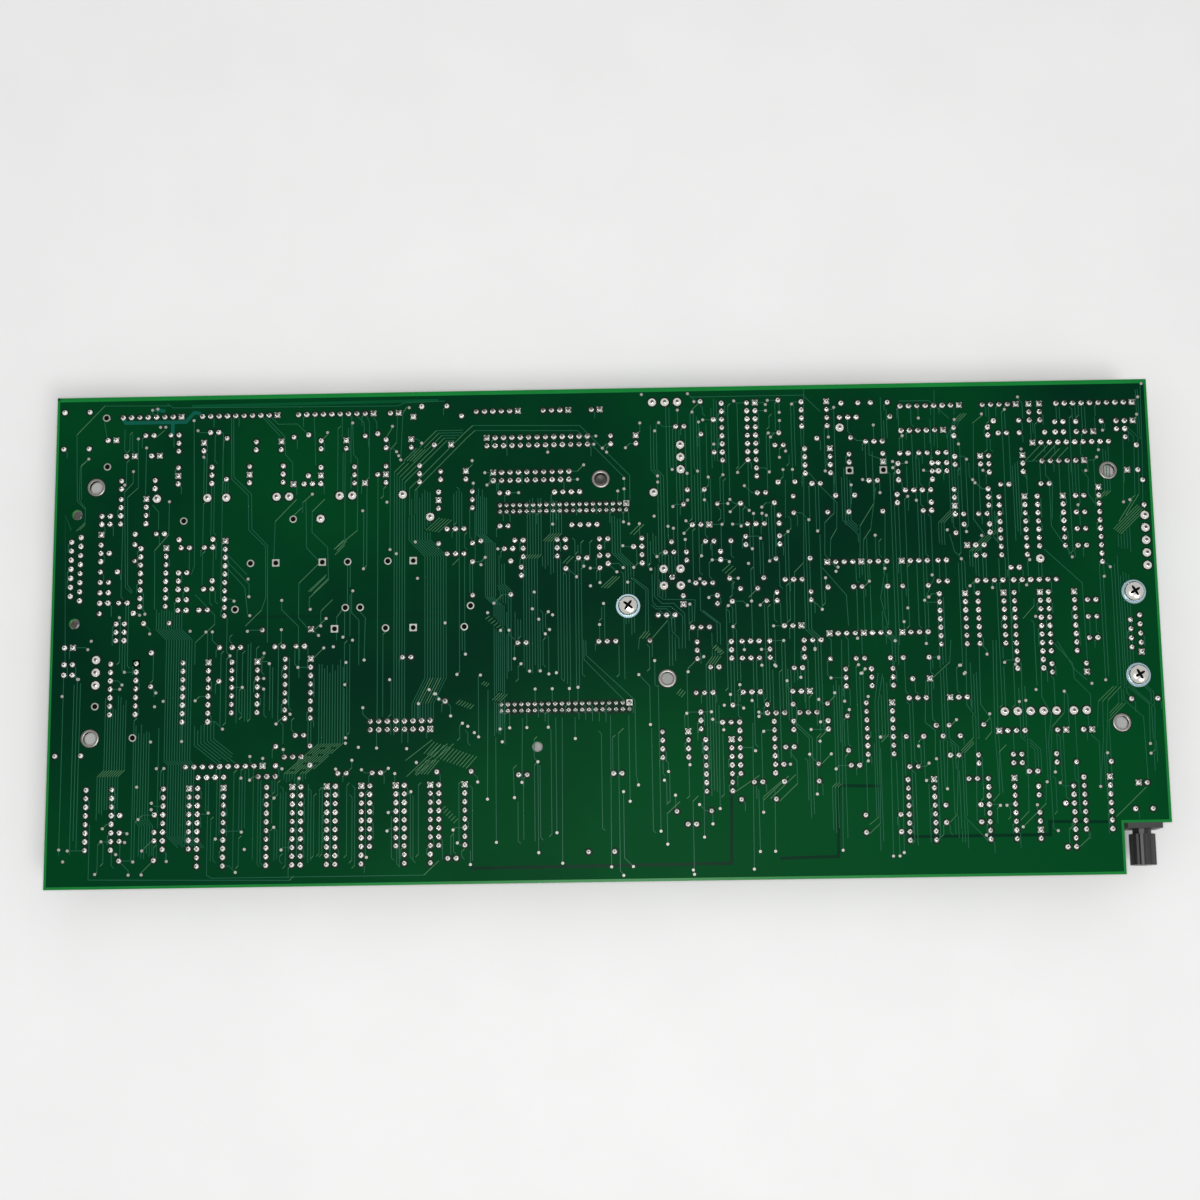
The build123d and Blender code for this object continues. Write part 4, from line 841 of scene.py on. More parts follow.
# %% Single lines
SINGLE_LINES = [
    [(283.5, 144.5), (283, 129.5), (285.5, 127.5), (300.5, 127), (300, 116.5)],
    [(282, 143), (281.5, 129), (285, 125.5), (290.5, 125.5), (295.5, 120.5), (295.5, 104)],
    [(280.5, 139.5), (280.5, 126.5), (282.5, 124), (289, 124), (294.5, 119.5), (294, 104)],
    [(280, 125), (282, 123), (287, 123), (289, 121), (289.5, 112), (292.5, 109), (292.5, 104)],
    [(271.5, 138), (278.5, 132.5), (278.5, 112.5), (275.5, 109)],
    [(270.5, 138), (277.5, 132), (277, 112.5), (274, 109), (273.5, 104)],
    [(303, 133), (303, 122), (310.5, 116), (310.5, 106.5)],
    [(304, 122), (312, 115.5), (312, 105.5)],
    [(287.5, 117.5), (280, 109)],
    [(206.5, 63.5), (206.5, 15)],
    [(203, 86), (202.5, 35)],
    [(226, 52), (226, 10)],
    [(234.5, 72.5), (234.5, 19)],
    [(237.5, 72.5), (237, 5)],
    [(243.5, 72.5), (243.5, 62.5)],
    [(260, 73), (259.5, 3)],
    [(266, 67), (263.5, 64.5), (263.5, 1), (265.5, -1)],
    [(265.5, 37.5), (265.5, 7), (269.5, 3)],
    [(268.5, 73), (268.5, 33)],
    [(271.5, 80), (271.5, 45), (272.5, 40.5)],
    [(282.5, 87), (282.5, 19)],
    [(291.5, 32.5), (285.5, 27), (285.5, 13)],
    [(300, 35), (297.5, 32.5), (297.5, -1)],
    [(303, 61), (302.5, 16)],
    [(310.5, 77), (310, 29)],
    [(326, 68.5), (325, 1)],
    [(328, 37.5), (328, 9)],
    [(335.5, 37), (335, 9)],
    [(339, 41.5), (330, 34), (330, 27)],
    [(216, 50.5), (214.5, 49), (215, 35.5)],
    [(219, 72.5), (218.5, 42.5)],
    [(194.5, 11.5), (194.5, 5)],
    [(249, 108.5), (249, 101.5), (271.5, 80)],
    [(248, 109), (248, 99.5), (267, 79.5)],
    [(317, 36.5), (328.5, 44)],
    [(281, 98.5), (281, 87), (282.5, 86)],
    [(273.5, 92), (278.5, 86.5), (278.5, 68.5)],
    [(164.5, 53.5), (177, 63)],
    [(165, 46), (180.5, 60.5)],
    [(169, 48.5), (184, 61)],
    [(169.5, 46.5), (187, 61)],
    [(500.5, 83), (510, 74.5), (509.5, 56)],
    [(501, 84), (512.5, 73), (511.5, 53), (509.5, 51.5)],
    [(498.5, 81.5), (498.5, 76.5), (507, 68.5), (507.5, 39.5)],
    [(497.5, 83), (491, 76.5), (489, 52), (488.5, 20.5), (490.5, 17)],
    [(495.5, 83), (488.5, 76), (488, 59), (485.5, 36.5)],
    [(494, 83), (486.5, 76), (485.5, 64)],
    [(506.5, 36), (492, 22.5)],
    [(368.5, 107), (366, 9)],
    [(390, 77.5), (389, 7)],
    [(392, 50), (392, 7)],
    [(395, 63), (394, 8)],
    [(385, 91), (383, 77.5), (383, 30), (383, 24), (378.5, 20.5)],
    [(387, 90.5), (384.5, 77.5), (384, 34.5), (383.5, 21), (378, 16)],
    [(407, 87), (406, 67.5), (410.5, 63.5), (410, 51.5)],
    [(419.5, 106), (418.5, 95.5), (410, 88)],
    [(420.5, 49.5), (419, 24.5), (415.5, 21)],
    [(422.5, 49.5), (422.5, 23.5), (432.5, 12.5), (435, 12.5)],
    [(426.5, 106), (425.5, 75.5), (429.5, 69.5), (428, 22), (431, 20.5)],
    [(432.5, 105.5), (432, 75.5), (436.5, 68.5), (436.5, 62.5), (433.5, 59)],
    [(439, 105.5), (438, 63.5), (439, 34), (436, 30.5)],
    [(440.5, 105.5), (439.5, 63.5), (440.5, 34)],
    [(461, 98), (460.5, 78.5), (464.5, 70.5), (462.5, 57), (463, 17.5), (465, 16.5)],
    [(471, 80.5), (470.5, 71), (464.5, 64.5), (462.5, 40.5)],
    [(453, 59.5), (452, 25.5), (448, 21.5)],
    [(460.5, 38), (460, 29), (449, 18.5)],
    [(473, 19.5), (470, 17), (470, 10)],
    [(479, 15.5), (479, 13), (474.5, 9)],
    [(416, 59), (415, 36.5)],
    [(467.5, 103.5), (475.5, 94), (476, 87), (483, 79.5), (483, 73)],
    [(482.5, 60.5), (486, 57), (485.5, 36.5)],
    [(355, 35), (355.5, 61), (357.5, 63)],
    [(337.5, 32), (346, 40), (346, 50.5), (343, 54.5)],
    [(443, 56.5), (439.5, 53), (439, 34)],
    [(51.5, 225.5), (20, 226), (7, 212), (8, 179.5), (12, 175.5), (12, 168), (9.5, 165.5)],
    [(50, 226.5), (53, 224.5), (160.5, 223.5), (164, 225), (183, 225.5)],
    [(20, 218.5), (21.5, 210)],
    [(45, 210), (49, 213.5)],
    [(36.5, 209), (37, 185.5), (32, 181), (33, 138.5), (35.5, 135)],
    [(40.5, 205), (40.5, 182)],
    [(34.5, 193), (34.5, 188), (30.5, 183.5), (32, 137.5), (35, 134.5)],
    [(63, 218), (64.5, 147.5), (63, 143)],
    [(13, 200), (9.5, 197), (10, 180)],
    [(5.5, 165.5), (2.5, 173), (4.5, 101)],
    [(44, 177), (47, 173.5), (47, 165)],
    [(52, 178), (52, 162.5), (45.5, 155), (46, 126.5)],
    [(81, 219), (81.5, 189), (89.5, 181), (90, 164), (98, 156), (98.5, 131.5), (96.5, 125.5), (89, 118)],
    [(82, 219), (82.5, 190), (91, 181.5), (91.5, 164.5), (99, 156.5), (99.5, 110)],
    [(96, 219), (104.5, 209.5)],
    [(97.5, 219), (106.5, 209.5), (107, 200.5), (110.5, 196.5), (110.5, 188)],
    [(100, 219), (103.5, 215.5), (112.5, 215.5), (117, 211)],
    [(120.5, 218.5), (121, 210), (121.5, 195)],
    [(134, 219.5), (134, 208.5)],
    [(135.5, 203.5), (135.5, 156), (131, 151.5)],
    [(140.5, 219.5), (144.5, 215.5), (144.5, 210.5)],
    [(145.5, 219.5), (147, 215.5), (147, 188.5), (145, 187)],
    [(148.5, 219), (150.5, 215.5), (150.5, 212)],
    [(139, 215), (139.5, 200), (141.5, 197.5), (141.5, 163), (130.5, 154)],
    [(112.5, 178.5), (102.5, 168), (102, 149.5)],
    [(115, 174.5), (110, 169.5)],
    [(120, 181), (115.5, 177), (115.5, 172)],
    [(126, 178.5), (120, 172.5), (120, 162.5), (127.5, 155), (128, 139.5), (119, 131), (119, 126.5)],
    [(117, 178), (117.5, 155), (123.5, 148.5)],
    [(124, 148), (114, 138), (114, 121.5), (118.5, 116.5)],
    [(127, 142), (118.5, 134)],
    [(130, 130), (124.5, 124.5), (124.5, 118)],
    [(106, 129.5), (106, 125.5), (114, 117.5), (114.5, 93)],
    [(134.5, 125), (132, 121.5), (132, 110.5)],
    [(139, 134), (139, 123.5), (142.5, 120), (142.5, 98.5)],
    [(142, 125), (145.5, 121), (145, 101)],
    [(144.5, 171.5), (144.5, 144.5)],
    [(160.5, 220.5), (160, 205.5), (157, 202), (157, 153.5)],
    [(154.5, 207), (158, 213)],
    [(165, 223), (163, 220), (162, 197)],
    [(79, 153.5), (89.5, 142.5)],
    [(79, 150), (90.5, 138), (90.5, 132)],
    [(79, 147), (88.5, 136.5), (90, 123.5)],
    [(65, 133.5), (74.5, 123.5), (74.5, 119), (65.5, 110.5), (65.5, 100)],
    [(514.5, 228), (513.5, 191), (512.5, 169.5)],
    [(505, 203.5), (503.5, 170.5)],
    [(506, 206.5), (510, 202), (509, 173.5), (506.5, 171.5)],
    [(507, 207), (512, 202), (511, 174.5)],
    [(465, 148.5), (482, 132), (482.5, 94.5)],
    [(469, 180.5), (469, 159.5), (478, 145)],
    [(416.5, 226.5), (415.5, 199)],
    [(434.5, 210), (432.5, 163.5), (437.5, 156)],
    [(439, 214), (434, 210)],
    [(455.5, 222.5), (458, 219.5), (458, 212)],
    [(399.5, 221.5), (414, 221.5), (418, 217.5), (423, 212.5)],
    [(344.5, 184), (344, 165.5)],
    [(367.5, 187), (367, 167.5), (362.5, 163), (362, 147.5), (367, 141.5)],
    [(376.5, 204.5), (379, 202.5), (383.5, 202.5)],
    [(384.5, 202), (384.5, 195.5), (391, 193)],
    [(391, 167), (390, 141)],
    [(402.5, 174), (402, 168)],
    [(354.5, 235), (352, 144), (347.5, 139.5), (346, 87)],
    [(355.5, 187.5), (361.5, 180), (368.5, 172.5), (368, 160), (365, 155), (364.5, 146.5)],
    [(386, 197), (386, 172), (379, 161), (378.5, 146)],
    [(387, 179.5), (384, 159.5), (380.5, 154.5), (380, 146)],
    [(360.5, 141.5), (371.5, 128), (372, 113.5)],
    [(390, 140), (387.5, 126.5), (390.5, 112)],
    [(413, 136), (408, 125), (408, 105.5)],
    [(459, 125), (459, 121.5), (453.5, 115.5)],
    [(469, 104.5), (476.5, 91), (482, 86)],
    [(421, 156.5), (423, 148), (426, 145)],
    [(441.5, 155), (444.5, 151)],
    [(469.5, 163), (470.5, 180.5), (467.5, 184), (467.5, 189)],
    [(490, 170), (487, 175), (487.5, 182.5), (484.5, 186.5)],
]
print("single lines:", len(SINGLE_LINES))

# %% [markdown]
# ## Short slanting strokes
# Where a bundle moves to other columns, its lines slant across in a row of short strokes. Each row is the
# first stroke, the number of strokes and the shift from one to the next.

# %% Short strokes
SHORT_STROKES = [
    ([(173, 56.5), (178, 62)], 14, (1.51, -0.55)),
    ([(169, 47), (174.5, 53.5)], 5, (1.39, -0.02)),
    ([(205, 81), (208.5, 84.5)], 4, (1.17, -0.25)),
    ([(188, 79.5), (190, 81.5)], 6, (1.28, -0.49)),
    ([(200, 88.5), (201.5, 90)], 3, (1.04, -0.49)),
    ([(181, 30), (183, 32)], 6, (1.15, -1.17)),
    ([(291, 82.5), (293, 85)], 3, (1.04, -0.72)),
    ([(308.5, 104), (310, 105.5)], 4, (0.92, -0.84)),
    ([(330, 32.5), (342, 43.5)], 2, (3.25, 0.64)),
    ([(174, 162.5), (180.5, 168.5)], 5, (1.42, -0.27)),
    ([(163.5, 196.5), (169.5, 202.5)], 4, (1.43, -0.14)),
    ([(256.5, 133.5), (262.5, 139)], 3, (1.41, -0.15)),
    ([(238.5, 145.5), (242, 149)], 2, (1.65, -0.27)),
    ([(274.5, 109.5), (276.5, 112)], 3, (1.28, -0.26)),
    ([(270.5, 159), (275.5, 164)], 2, (1.64, -0.39)),
    ([(202, 119.5), (204, 121)], 6, (1.28, -1.09)),
    ([(186.5, 145.5), (189.5, 148.5)], 1, (0, 0)),
    ([(313.5, 140.5), (317.5, 144)], 3, (1.26, -1.1)),
    ([(308, 103.5), (310, 105)], 4, (1.15, -0.97)),
    ([(498, 157.5), (510, 169)], 5, (0.81, -0.63)),
    ([(130.5, 154), (135, 158.5)], 2, (1.42, -0.51)),
    ([(119.5, 134), (126.5, 141)], 2, (1.42, -0.74)),
]
print("short strokes:", sum(count for points, count, shift in SHORT_STROKES))

# %% [markdown]
# ## Drawing the lines that were read
# The single lines and the strokes come first, so that the bundles can stop where a line already runs.

# %% Draw the read lines
for points in SINGLE_LINES:
    line(points)
for points, count, shift in SHORT_STROKES:
    for i in range(count):
        line([(x + shift[0] * i, y + shift[1] * i) for x, y in points])
for points, count, shift in LONG_RUNS:
    bundle(points, count, shift)
print("faces in the read lines:", len(line_faces))

# %% [markdown]
# ## Bundles that weave between the pads
# Most lines of such a board run upright in bundles and turn aside only to pass a pad. A small router draws
# them: it goes along a column, stops short of every joint and via, and joins neighbouring columns with a
# short 45 degree jog. The seeded chance keeps the result the same each run.

# %% Route the upright bundles
via_places = np.array([p[:2] for p in via_spots + ring_spots + square_spots])
obstacles = np.concatenate([centres, np.array(HEAVY_JOINTS), via_places])
obstacle_steps = np.array([steps_of(*p) for p in obstacles])
LINE_GAP = 1.75             # steps from a line to the middle of a pad
SHORTEST_RUN = 5
PAD_SHARE = 0.65            # of the lines that stop at a pad, those that end in it


def free_runs(x, y_low, y_high):
    """Stretches of a column that no pad comes near, each with the pads at its ends."""
    near = obstacle_steps[np.abs(obstacle_steps[:, 0] - x) < LINE_GAP]
    stops = sorted((y, pad_x) for pad_x, y in near if y_low - 3 < y < y_high + 3)
    runs, start, start_pad = [], y_low, None
    for y, pad_x in stops:
        if y - LINE_GAP - start > SHORTEST_RUN:
            runs.append((start, y - LINE_GAP, start_pad, (pad_x, y)))
        start, start_pad = max(start, y + LINE_GAP), (pad_x, y)
    if y_high - start > SHORTEST_RUN:
        runs.append((start, y_high, start_pad, None))
    return [
        run for run in runs
        if not any(is_taken(x, run[0] + k) for k in np.arange(0, run[1] - run[0], 1.0))
    ]


def ended(x, y, pad_place, way):
    """Points that take a line into the pad at its end, or a short jog where there is none."""
    if pad_place and chance.random() < PAD_SHARE:
        across = pad_place[0] - x
        return [(x, pad_place[1] - way * abs(across)), tuple(pad_place)]
    jog = chance.choice((-LINE_PITCH, 0, LINE_PITCH))
    if jog and not is_taken(x + jog, y + way * 2):
        return [(x, y - way * LINE_PITCH), (x + jog, y)]
    return [(x, y)]


# Left, front, right, back, gap between lines and share of columns that carry one.
UPRIGHT_BUNDLES = [
    (30, 96, 36, 215, 1.25, 0.9), (62, 122, 70, 214, 1.25, 0.8), (46, 76, 60, 122, 1.25, 0.8),
    (84, 72, 106, 112, 1.3, 0.7), (72, 128, 84, 214, 1.3, 0.6), (106, 62, 122, 106, 1.3, 0.5),
    (126, 4, 146, 44, 1.25, 0.8), (158, 4, 196, 44, 1.25, 0.8), (96, 4, 130, 44, 1.3, 0.8),
    (132, 60, 140, 216, 1.25, 0.9), (146, 74, 160, 214, 1.3, 0.35), (186, 60, 200, 184, 1.25, 0.6),
    (214, 14, 282, 66, 2.6, 0.3), (236, 88, 252, 160, 1.4, 0.8), (212, 88, 232, 124, 1.3, 0.7),
    (254, 88, 284, 160, 1.3, 0.5), (284, 30, 300, 226, 1.5, 0.5), (300, 30, 330, 224, 1.5, 0.45),
    (330, 30, 362, 224, 1.5, 0.45), (362, 10, 396, 224, 1.6, 0.4), (396, 10, 430, 216, 1.5, 0.45),
    (430, 20, 462, 216, 1.5, 0.5), (462, 20, 492, 216, 1.5, 0.45), (492, 20, 504, 176, 1.3, 0.5),
    (22, 4, 60, 74, 1.3, 0.5), (60, 4, 96, 50, 1.3, 0.6), (70, 56, 84, 120, 1.3, 0.5),
]
for left, front, right, back, gap, share in UPRIGHT_BUNDLES:
    x = left
    while x <= right:
        for low, high, low_pad, high_pad in free_runs(x, front, back):
            if chance.random() > share:
                continue
            low += 0 if low_pad else chance.uniform(0, 6)
            high -= 0 if high_pad else chance.uniform(0, 6)
            if high - low > 4:
                line(ended(x, low, low_pad, -1)[::-1] + ended(x, high, high_pad, 1))
        x += gap
print("faces with the woven bundles:", len(line_faces))

# %% [markdown]
# ## Short links
# Each via is the end of a line, and many pads have one leaving them. A short dogleg of one straight and one
# 45 degree piece joins a via to a joint close by, unless a read line ends there already. A seeded share of
# the joints gets a short stub.

# %% Link the vias to their joints
LINK_REACH = 9              # steps from a via to the joint that it is joined to, at most
END_CLEARANCE = 2.5         # steps from a via to the end of a read line, at least
STUB_SHARE = 0.3
STUB_TURN = 1.6


def dogleg(x0, y0, x1, y1):
    """Upright first, then at 45 degrees."""
    across, along = x1 - x0, y1 - y0
    slant = min(abs(across), abs(along))
    turn_y = y1 - slant * (1 if along > 0 else -1)
    points = [(x0, y0), (x0, turn_y)]
    if slant:
        points.append((x0 + slant * (1 if across > 0 else -1), y1))
    points.append((x1, y1))
    return points


def used_only(corners, faces):
    """The faces with only the corners that they use."""
    used = sorted({i for face in faces for i in face})
    order = {old: new for new, old in enumerate(used)}
    return [corners[i] for i in used], [tuple(order[i] for i in face) for face in faces]


line_ends = np.array([end for points in SINGLE_LINES for end in (points[0], points[-1])])
for x, y in clear_vias:
    index, gap = nearest_joint(x, y)
    if gap < LINK_REACH and np.hypot(*(line_ends - (x, y)).T).min() > END_CLEARANCE:
        line(dogleg(x, y, *steps_of(*JOINTS[index])))
for px, py in JOINTS:
    if chance.random() < STUB_SHARE:
        x, y = steps_of(px, py)
        reach = chance.uniform(2.5, 5)
        side = chance.choice((-1, 1))
        turn_x, turn_y = x + side * STUB_TURN, y - STUB_TURN
        line([(x, y), (turn_x, turn_y), (turn_x, turn_y - reach)])
level_lines = used_only(line_corners, line_faces)
new_piece("copper lines under the lacquer", *level_lines, COPPER_LINE, "green_laminate")
# The stretches that slant up to the right carry the painted glint.
glinting_lines = used_only(line_corners, glint_faces)
new_piece("slanting copper lines with painted glint", *glinting_lines, GLINTING_LINE, "green_laminate")

# %% [markdown]
# ## The glowing rim and the shade of inner copper
# The inner copper stops short of the board's edge, so light comes up through the bare laminate there and
# draws a bright green rim. Where an inner sheet of copper ends, a faint dark line shows through the lacquer,
# and where two sheets leave a gap, a faint bright one. A broad bus of outer copper carries the supply. All of
# these are flat strips laid a few thousandths to hundredths of a millimetre above the board.

# %% Strips along the rim and over the inner copper
NOTCH_WIDTH, NOTCH_DEPTH = 14.0 * MM, 14.9 * MM


def strip(points, width, z):
    """Flat strip along a path of metres, its left side on the path."""
    corners, faces = [], []
    path = [np.array(p) for p in points]
    for i, place in enumerate(path):
        left = left_normals(path, i)
        inward = (left[0] + left[1]) / max(1.0, 1.0 + float(np.dot(*left)))
        inner = place + inward * width
        corners += [(*place, z), (*inner, z)]
    for i in range(len(path) - 1):
        a = 2 * i
        faces.append((a, a + 2, a + 3, a + 1))
    return corners, faces


def strips_over(paths, width, height):
    """Flat strips along several paths in steps, at a height above the board."""
    return together(*[strip([at(*p) for p in path], width, TOP + height) for path in paths])


NOTCH_X, NOTCH_Y = board_high.x - NOTCH_WIDTH, board_low.y + NOTCH_DEPTH
edge = [
    (board_low.x, board_high.y), (board_low.x, board_low.y), (NOTCH_X, board_low.y), (NOTCH_X, NOTCH_Y),
    (board_high.x, NOTCH_Y), (board_high.x, board_high.y), (board_low.x, board_high.y),
]
new_piece("glowing rim", *strip(edge, 0.75 * MM, TOP + 0.008 * MM), RIM_LIGHT, "green_laminate")
back_glow = strip([(board_high.x, board_high.y), (board_low.x, board_high.y)], 1.3 * MM, TOP + 0.005 * MM)
new_piece("glow along the back edge", *back_glow, RIM_LIGHT, "green_laminate")
SHEET_EDGES = [
    [(315, 50), (314, 4.5), (194.5, 4)],
    [(337, 5), (364.5, 5.5), (365.5, 38), (385, 37.5)],
    [(396, 14), (462, 14), (462, 20), (489, 19.5)],
    [(92.5, 121.5), (183, 121)],
]
sheet_edges = strips_over(SHEET_EDGES, 0.9 * MM, 0.004 * MM)
new_piece("edges of inner copper", *sheet_edges, INNER_SHADE, "green_laminate")
BUS_PATHS = [
    [(28.5, 218.5), (30, 216.5), (59.5, 216.5), (63.5, 221), (66, 220.5)],
    [(52, 216.5), (52, 211)],
    [(44, 223), (49, 222)],
]
bus = strips_over(BUS_PATHS, 1.1 * MM, 0.03 * MM)
new_piece("broad supply bus", *bus, BUS_TONE, "green_laminate")
back_gap = strips_over([[(180, 226.6), (62, 225.8)]], 0.9 * MM, 0.006 * MM)
new_piece("gap between inner sheets", *back_gap, INNER_GLOW, "green_laminate")

# %% [markdown]
# ## Plated mounting holes
# Six holes are plated through, with a thin ring of dull plating on the face and the same plating down the
# hole. The holes of the three fixing screws are hidden under their washers. The end of a screw fills the
# hole over the module's second spacer.

# %% Plated rings of the mounting holes
MOUNT_HOLES = [(17, 66), (497, 66), (17, 186), (497, 186), (286.8, 90), (257, 186)]
mount_ring = turned(
    [(2.68 * MM, 0.0), (2.62 * MM, 0.06 * MM), (2.2 * MM, 0.1 * MM), (1.98 * MM, 0.04 * MM),
     (1.97 * MM, -1.6 * MM)],
    32, close_top=False,
)
mount_spots = [(*at(x, y), TOP) for x, y in MOUNT_HOLES]
RING_METAL = finish(
    "dull ring plating", (0.13, 0.13, 0.12), (0.29, 0.28, 0.26), 0.35, metallic=1.0, grain=700, bump=0.2,
)
new_piece("plated mounting holes", *stamp(mount_ring, mount_spots), RING_METAL, "solder", smooth=True)
groove = turned([(2.95 * MM, 0.0), (2.85 * MM, 0.014 * MM), (2.62 * MM, 0.014 * MM)], 32, close_top=False)
new_piece("bare rings of the mounting holes", *stamp(groove, mount_spots), CLEARANCE, "green_laminate")
SCREW_END = MOUNT_HOLES[-1]
screw_end = turned(
    [(1.9 * MM, 0.1 * MM), (1.9 * MM, 0.5 * MM), (1.5 * MM, 0.7 * MM), (1.2 * MM, 0.7 * MM),
     (1.1 * MM, 0.62 * MM)],
    28,
)
DULL_STEEL = finish(
    "dull steel", (0.035, 0.035, 0.032), (0.1, 0.096, 0.09), 0.5, metallic=1.0, grain=900, bump=0.3,
)
new_piece(
    "screw end in the middle hole", *stamp(screw_end, [(*at(*SCREW_END), UNDER)]), DULL_STEEL, "plated_steel",
    smooth=True,
)

# %% [markdown]
# ## Fixing screws and washers
# Pan head screws hold the connector and the module, each on a zinc plated washer. Both are turned outlines,
# with the head's crown as a low dome and the shank going down through the board.

# %% Washers and heads
screw_boxes = islands("fixing_screws")
screw_spots = [((low[0] + high[0]) / 2, (low[1] + high[1]) / 2, TOP) for low, high in screw_boxes]
washer_shape = turned(
    [(1.5 * MM, 0.0), (3.55 * MM, 0.0), (3.65 * MM, 0.1 * MM), (3.65 * MM, 0.45 * MM), (3.5 * MM, 0.6 * MM),
     (1.5 * MM, 0.6 * MM)],
    48, close_top=False,
)
washers = new_piece("zinc plated washers", *stamp(washer_shape, screw_spots), ZINC, "zinc_plate", smooth=True)
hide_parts("screw_washers")
SEAT = 0.6 * MM
head_outline = [
    (2.86 * MM, SEAT), (2.95 * MM, SEAT + 0.1 * MM), (2.95 * MM, SEAT + 0.7 * MM), (2.8 * MM, SEAT + 1.1 * MM),
    (2.4 * MM, SEAT + 1.45 * MM), (1.8 * MM, SEAT + 1.7 * MM), (1.1 * MM, SEAT + 1.84 * MM),
    (0.5 * MM, SEAT + 1.9 * MM), (0.1 * MM, SEAT + 1.91 * MM),
]
shank = turned([(1.5 * MM, -5.0 * MM), (1.5 * MM, SEAT)], 24, close_top=False, close_foot=True)
head_shapes = stamp(together(turned(head_outline, 40), shank), screw_spots)
heads = new_piece("pan head screws", *head_shapes, SCREW_STEEL, "plated_steel", smooth=True)
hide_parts("fixing_screws")

# %% [markdown]
# ## Cross recesses
# A real recess is pressed, with four tapered wings. Here it is a dark four-winged shape made as its own
# piece and set a hair above the crown, so that it reads as a hole from any side. Its darkness is painted
# shade.

# %% Cross recesses
WING = 1.7 * MM
WING_HALF = 0.4 * MM
crown_z = SEAT + 1.93 * MM
wing_corners, wing_faces = [], []
for quarter in range(4):
    c, s = cos(quarter * pi / 2), sin(quarter * pi / 2)
    start = len(wing_corners)
    outline = []
    for side in (-1, 1):
        for reach, half, drop in ((0.0, 1.0, 0.0), (0.55, 1.0, 0.04), (0.85, 0.7, 0.13), (1.0, 0.4, 0.2)):
            outline.append((WING * reach, side * WING_HALF * half, crown_z - drop * MM))
    wing_corners += [(x * c - y * s, x * s + y * c, z) for x, y, z in outline]
    for k in range(3):
        wing_faces.append((start + k, start + k + 1, start + 5 + k, start + 4 + k))
recess_turns = [chance.uniform(0.2, 1.3) for _ in screw_spots]
recesses = stamp((wing_corners, wing_faces), screw_spots, recess_turns)
new_piece("cross recesses", *recesses, HOLE_DARK, "plated_steel")

# %% [markdown]
# ## Legs, wires and pins below the board
# The parts hang under the board. A chip's leg leaves the body at its waist, turns up with a wide shoulder
# and goes on as a narrow lead. The CAD legs are thin wedges, so each wedge's box gives the place, and a bent
# strip takes its stead.

# %% Chip legs
LEG_THICK = 0.25 * MM
SHOULDER_HALF, LEAD_HALF = 0.7 * MM, 0.25 * MM
SHOULDER_RISE = 1.3 * MM


def bent_leg(low, high):
    """Strip with a level part, a wide upright part and a narrow lead."""
    y = (low[1] + high[1]) / 2
    middle = (low[0] + high[0]) / 2
    outward = 1 if leg_outward(middle, y) else -1
    inner, outer = (low[0], high[0]) if outward > 0 else (high[0], low[0])
    z = low[2]
    wide, narrow = SHOULDER_HALF, LEAD_HALF
    inside = outer - LEG_THICK * outward
    level = sorted_corner((inner, y - wide, z), (inside, y + wide, z + LEG_THICK))
    upright = sorted_corner((inside, y - wide, z), (outer, y + wide, z + SHOULDER_RISE))
    lead = sorted_corner((inside, y - narrow, z + SHOULDER_RISE), (outer, y + narrow, UNDER))
    return together(cuboid(*level), cuboid(*upright), cuboid(*lead))


chip_names = [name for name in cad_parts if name.startswith("chip_") and name != "chip_legs"]
chip_boxes = {name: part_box(name) for name in chip_names}


def leg_outward(x, y):
    """True where the leg's chip lies on its left."""
    for low, high in chip_boxes.values():
        if low.y - 0.5 * MM < y < high.y + 0.5 * MM and abs(x - (low.x + high.x) / 2) < 5 * MM:
            return x > (low.x + high.x) / 2
    return True


leg_shapes = [bent_leg(low, high) for low, high in islands("chip_legs")]
legs = new_piece("bent chip legs", *together(*leg_shapes), TINNED, "tinned_leads")
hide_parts("chip_legs")

# %% [markdown]
# ## Resistors and diodes
# An axial part is a small rod with swollen ends and painted bands, held by a wire at each end that turns up
# through the board. The rod is turned lying down: its outline runs along its own axis.

# %% Rods with wires
WIRE_HALF = 0.3 * MM
OFF_AXIS = 0.4 * MM         # a lead this near to the rod's axis may be its own
WIRE_REACH = 6 * MM


def lying_rod(low, high, outline, sides=12):
    """Turn an outline of (share along, share of the radius) about a level axis through a box."""
    middle, size, along = box_axes(low, high)
    radius = size[2] / 2
    corners = []
    for share, reach in outline:
        for i in range(sides):
            angle = 2 * pi * i / sides
            place = [0.0, 0.0, middle[2] + radius * reach * sin(angle)]
            place[along] = middle[along] + size[along] * share
            place[1 - along] = middle[1 - along] + radius * reach * cos(angle)
            corners.append(place)
    faces = ring_faces(len(outline) - 1, sides)
    return corners, [face[::-1] for face in faces] if along == 1 else faces


def rod_wires(low, high):
    """Two wires from the rod's ends to the nearest leads above."""
    middle, size, along = box_axes(low, high)
    shapes = []
    for side in (-1, 1):
        tip = middle.copy()
        tip[along] += side * size[along] / 2
        on_axis = [
            p for p in JOINTS
            if abs(p[1 - along] - middle[1 - along]) < OFF_AXIS
            and 0 < side * (p[along] - tip[along]) < WIRE_REACH
        ]
        if not on_axis:
            continue
        lead = min(on_axis, key=lambda p: side * (p[along] - tip[along]))
        a, b = tip.copy(), tip.copy()
        b[along] = lead[along] + side * WIRE_HALF
        a[1 - along] -= WIRE_HALF
        b[1 - along] += WIRE_HALF
        a[2] -= WIRE_HALF
        b[2] += WIRE_HALF
        shapes.append(cuboid(*sorted_corner(a, b)))
        foot = np.array([lead[0] - WIRE_HALF, lead[1] - WIRE_HALF, middle[2] - WIRE_HALF])
        head = np.array([lead[0] + WIRE_HALF, lead[1] + WIRE_HALF, UNDER])
        shapes.append(cuboid(foot, head))
    return shapes


